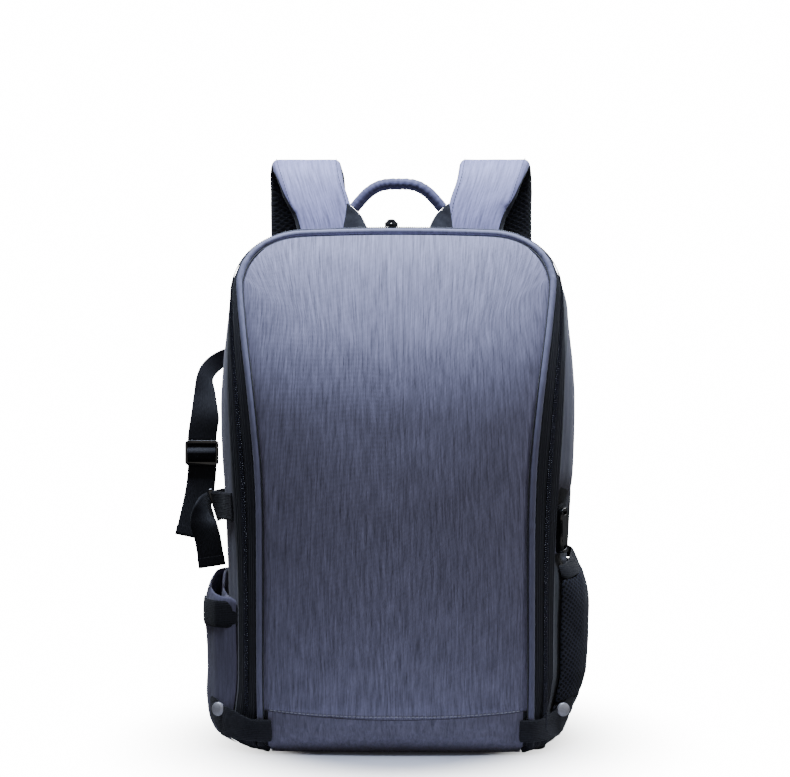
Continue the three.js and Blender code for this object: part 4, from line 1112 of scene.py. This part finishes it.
def makeRivet(side):
    # a domed cap on the corner strap, turned half to the front
    node = f"rivet_{side}"
    way = -1 if side == "left" else 1
    low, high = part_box(node)
    centre = (np.array(low) + np.array(high)) / 2
    aim = centre + (-way * rivetLook["inward"][side], -rivetLook["forward"], rivetLook["rise"])
    strap = numbersOf(bpy.data.objects[pieceName(f"corner_strap_{side}")])
    near = strap[np.argsort(np.abs(strap[:, 0] - aim[0]) + np.abs(strap[:, 2] - aim[2]))[:60]]
    aim[1] = near[:, 1].min()
    out = np.array([way * rivetLook["facing"], -1.0, 0.0])
    out /= np.linalg.norm(out)
    aside = np.cross(out, (0, 0, 1))
    rise = np.cross(aside, out)
    rows = [(1.0, -1.2 * mm), (1.0, 0.2 * mm), (0.97, rivetLook["rim"])]
    for k in range(1, 7):
        share = math.cos(k * math.pi / 13)
        rows.append((share * 0.93, rivetLook["rim"] + rivetLook["dome"] * math.sqrt(1 - share * share)))
    turns = np.linspace(0, 2 * math.pi, 40, endpoint=False)
    circle = rivetLook["radius"] * (np.cos(turns)[:, None] * aside + np.sin(turns)[:, None] * rise)
    rings = [aim + out * (height - rivetLook["sink"]) + circle * reach for reach, height in rows]
    dress(gridPiece(pieceName(node), np.array(rings), angle=35), rivetMetal, "rivet_metal", node)


plasticLook = {"edge": 0.7 * mm, "buckleEdge": 1.2 * mm, "buckleSink": 5 * mm, "sliderEdge": 0.5 * mm}


def makeHardware():
    for node in ("tri_glide", "ladder_lock", "strap_adjuster_left", "strap_adjuster_right"):
        dress(hardCopy(node, plasticLook["edge"]), moulded, "black_plastic", node)
    buckle = tuck(hardCopy("side_buckle", plasticLook["buckleEdge"], 3), plasticLook["buckleSink"])
    dress(buckle, moulded, "black_plastic", "side_buckle")
    slider = hardCopy("zipper_slider", plasticLook["sliderEdge"])
    dress(slider, sliderMetal, "slider_metal", "zipper_slider")
    dress(hardCopy("zipper_pull", plasticLook["edge"]), pullRubber, "pull_rubber", "zipper_pull")
    for side in ("left", "right"):
        makeRivet(side)


makeHardware()

print("stage: handle")

handleLook = {"wrinkle": 0.035, "turn": 6.2 * mm, "crossTurn": 4.1 * mm, "tabFold": 0.8 * mm}


def makeHandle():
    rings = refined(refined(cadRings("handle_grip", 10), 8), 3, 1, True)
    centre = rings.mean(axis=1, keepdims=True)
    run = lengthAlong(centre[:, 0])
    share = run / run[-1]
    count = rings.shape[1]
    angle = np.linspace(0, 2 * math.pi, count, endpoint=False)[None, :]
    spiral = np.sin(run[:, None] * 2 * math.pi / handleLook["turn"] + angle * 2) \
        + 0.6 * np.sin(run[:, None] * 2 * math.pi / handleLook["crossTurn"] - angle)
    middle = np.exp(-((share - 0.5) / 0.24) ** 4)[:, None]
    swell = 1 + handleLook["wrinkle"] * spiral * (0.25 + 0.75 * middle)
    rings = centre + (rings - centre) * swell[..., None]
    lie = np.stack([np.broadcast_to(run[:, None], swell.shape),
                    np.broadcast_to(angle * 5 * mm, swell.shape)], axis=-1)
    grip = dress(gridPiece("handleGrip", rings, lie, angle=70), twillGrip, "grip_twill", "handle_grip")
    for side in ("left", "right"):
        node = f"handle_tab_{side}"
        tab = softCopy(node, 0)
        hold = tab.modifiers.new("hold", "BEVEL")
        hold.width = 1.6 * mm
        hold.segments = 2
        tab.modifiers.new("fine", "SUBSURF").levels = 3
        bakedMesh(tab)
        smooth(tab, 50)
        push(tab, handleLook["tabFold"] * np.minimum(lumps(numbersOf(tab), 0.012, 3.0, 2), 0.3))
        dress(tab, tabCloth, "black_webbing", node)


makeHandle()

print("stage: shoulder straps")

strapLook = {"rowSteps": 6, "binding": 5.0 * mm, "pinch": 0.62, "columns": 34,
             "edge": 7 * mm, "edgeFade": 0.07, "round": 1.6 * mm, "puff": 0.5 * mm,
             "pressure": 3.0, "cap": 1.6 * mm}


def makeShoulderStrap(side):
    # padded strap with a grey face, black spacer mesh inside and a stitched edge
    node = f"shoulder_strap_{side}"
    rings = refined(cadRings(node, 10), strapLook["rowSteps"])
    if rings[0, :, 1].mean() > rings[-1, :, 1].mean():
        rings = rings[::-1]
    left = rings.min(axis=1)[:, 0]
    right = rings.max(axis=1)[:, 0]
    middle = rings.mean(axis=1)
    half = (right - left) / 2
    middle[:, 0] = (left + right) / 2
    ahead = np.gradient(middle, axis=0)
    ahead /= np.linalg.norm(ahead, axis=1, keepdims=True)
    out = np.stack([np.zeros(len(ahead)), -ahead[:, 2], ahead[:, 1]], axis=1)
    thick = np.array([np.ptp(ring @ o) for ring, o in zip(rings, out)]) / 2
    run = lengthAlong(middle)
    columns = strapLook["columns"]
    across = np.sin(np.linspace(-math.pi / 2, math.pi / 2, columns))
    peak = middle[:, 2].max()
    low = ramp(middle[:, 2], peak, peak - strapLook["edgeFade"])
    rows, lies = [], []
    innerSide = 9
    for upper in (1, -1):
        order = across if upper == 1 else across[::-1]
        for a in order:
            edge = (1 - abs(a)) * half
            pinch = eased(ramp(edge, 0, strapLook["binding"]))
            swell = strapLook["pinch"] + (1 - strapLook["pinch"]) * pinch
            rounded = ramp(edge, 0, strapLook["round"]) ** 0.5
            rows.append(middle + out * (upper * thick * swell * rounded)[:, None]
                        + np.array([1.0, 0, 0]) * (a * half)[:, None])
            outer = a * (-1 if side == "left" else 1)
            shade = np.clip((outer * half - half + strapLook["edge"] * low) / mm, -5, 5) - 0.2
            if upper == -1:
                shade = shade * 0 + innerSide
            lies.append(np.stack([run, a * half, shade], axis=-1))
    points = np.stack(rows, axis=1)
    lie = np.stack(lies, axis=1)
    strap = gridPiece(pieceName(node), points, lie, angle=60)
    puff = lumps(numbersOf(strap), 0.03, 7.0 if side == "left" else 8.0, 3)
    push(strap, strapLook["puff"] * np.minimum(puff, 0.5))
    swollen(strap, strapLook)
    dress(strap, twillStrap, "strap_twill", node)
    strap.data.materials.append(padMesh)
    faceUp = lie[:, :, 2].reshape(-1) < innerSide
    for face in strap.data.polygons:
        if not all(faceUp[list(face.vertices)]):
            face.material_index = 1
    for way in (-1, 1):
        share = way * (1 - strapLook["binding"] / half)
        rise = thick + 0.3 * mm
        line = middle + out * rise[:, None] + np.array([1.0, 0, 0]) * (share * half)[:, None]
        stitchRow(f"strapStitch{side.title()}{'Inner' if way < 0 else 'Outer'}", line[8:-8], out[8:-8],
                  2.6 * mm, 1.0 * mm, 0.7 * mm, darkThread, "strap_twill")


for side in ("left", "right"):
    makeShoulderStrap(side)

print("stage: back pad")

padLook = {"voxel": 5 * mm, "pressure": 4.0, "cap": 3 * mm, "shrink": (0.96, 0.8, 0.96),
           "channel": 3.2 * mm, "spine": 0.17, "spineWide": 4 * mm, "crossings": (0.30, 0.52, 0.74),
           "crossWide": 3.5 * mm, "slope": 0.12}


def makeBackPad():
    pad = softCopy("back_pad", 0)
    points = numbersOf(pad)
    low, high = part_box("back_pad")
    centre = (np.array(low) + np.array(high)) / 2
    setNumbers(pad, centre + (points - centre) * padLook["shrink"])
    swollen(pad, padLook)
    pad.modifiers.new("fine", "SUBSURF").levels = 1
    bakedMesh(pad)
    points = numbersOf(pad)
    aside = np.abs(points[:, 0])
    spine = padLook["spine"] * (high.x - low.x)
    deep = ramp(points[:, 1], low.y, high.y)
    groove = np.exp(-((aside - spine) / padLook["spineWide"]) ** 2)
    for share in padLook["crossings"]:
        place = low.z + share * (high.z - low.z) + padLook["slope"] * aside
        crossing = np.exp(-((points[:, 2] - place) / padLook["crossWide"]) ** 2)
        groove = np.maximum(groove, crossing * (aside > spine))
    points[:, 1] -= padLook["channel"] * groove * deep
    points[:, 1] = np.clip(points[:, 1], low.y, high.y + 3 * mm)
    setNumbers(pad, points)
    smooth(pad, 60)
    dress(pad, padMesh, "back_mesh", "back_pad")


makeBackPad()
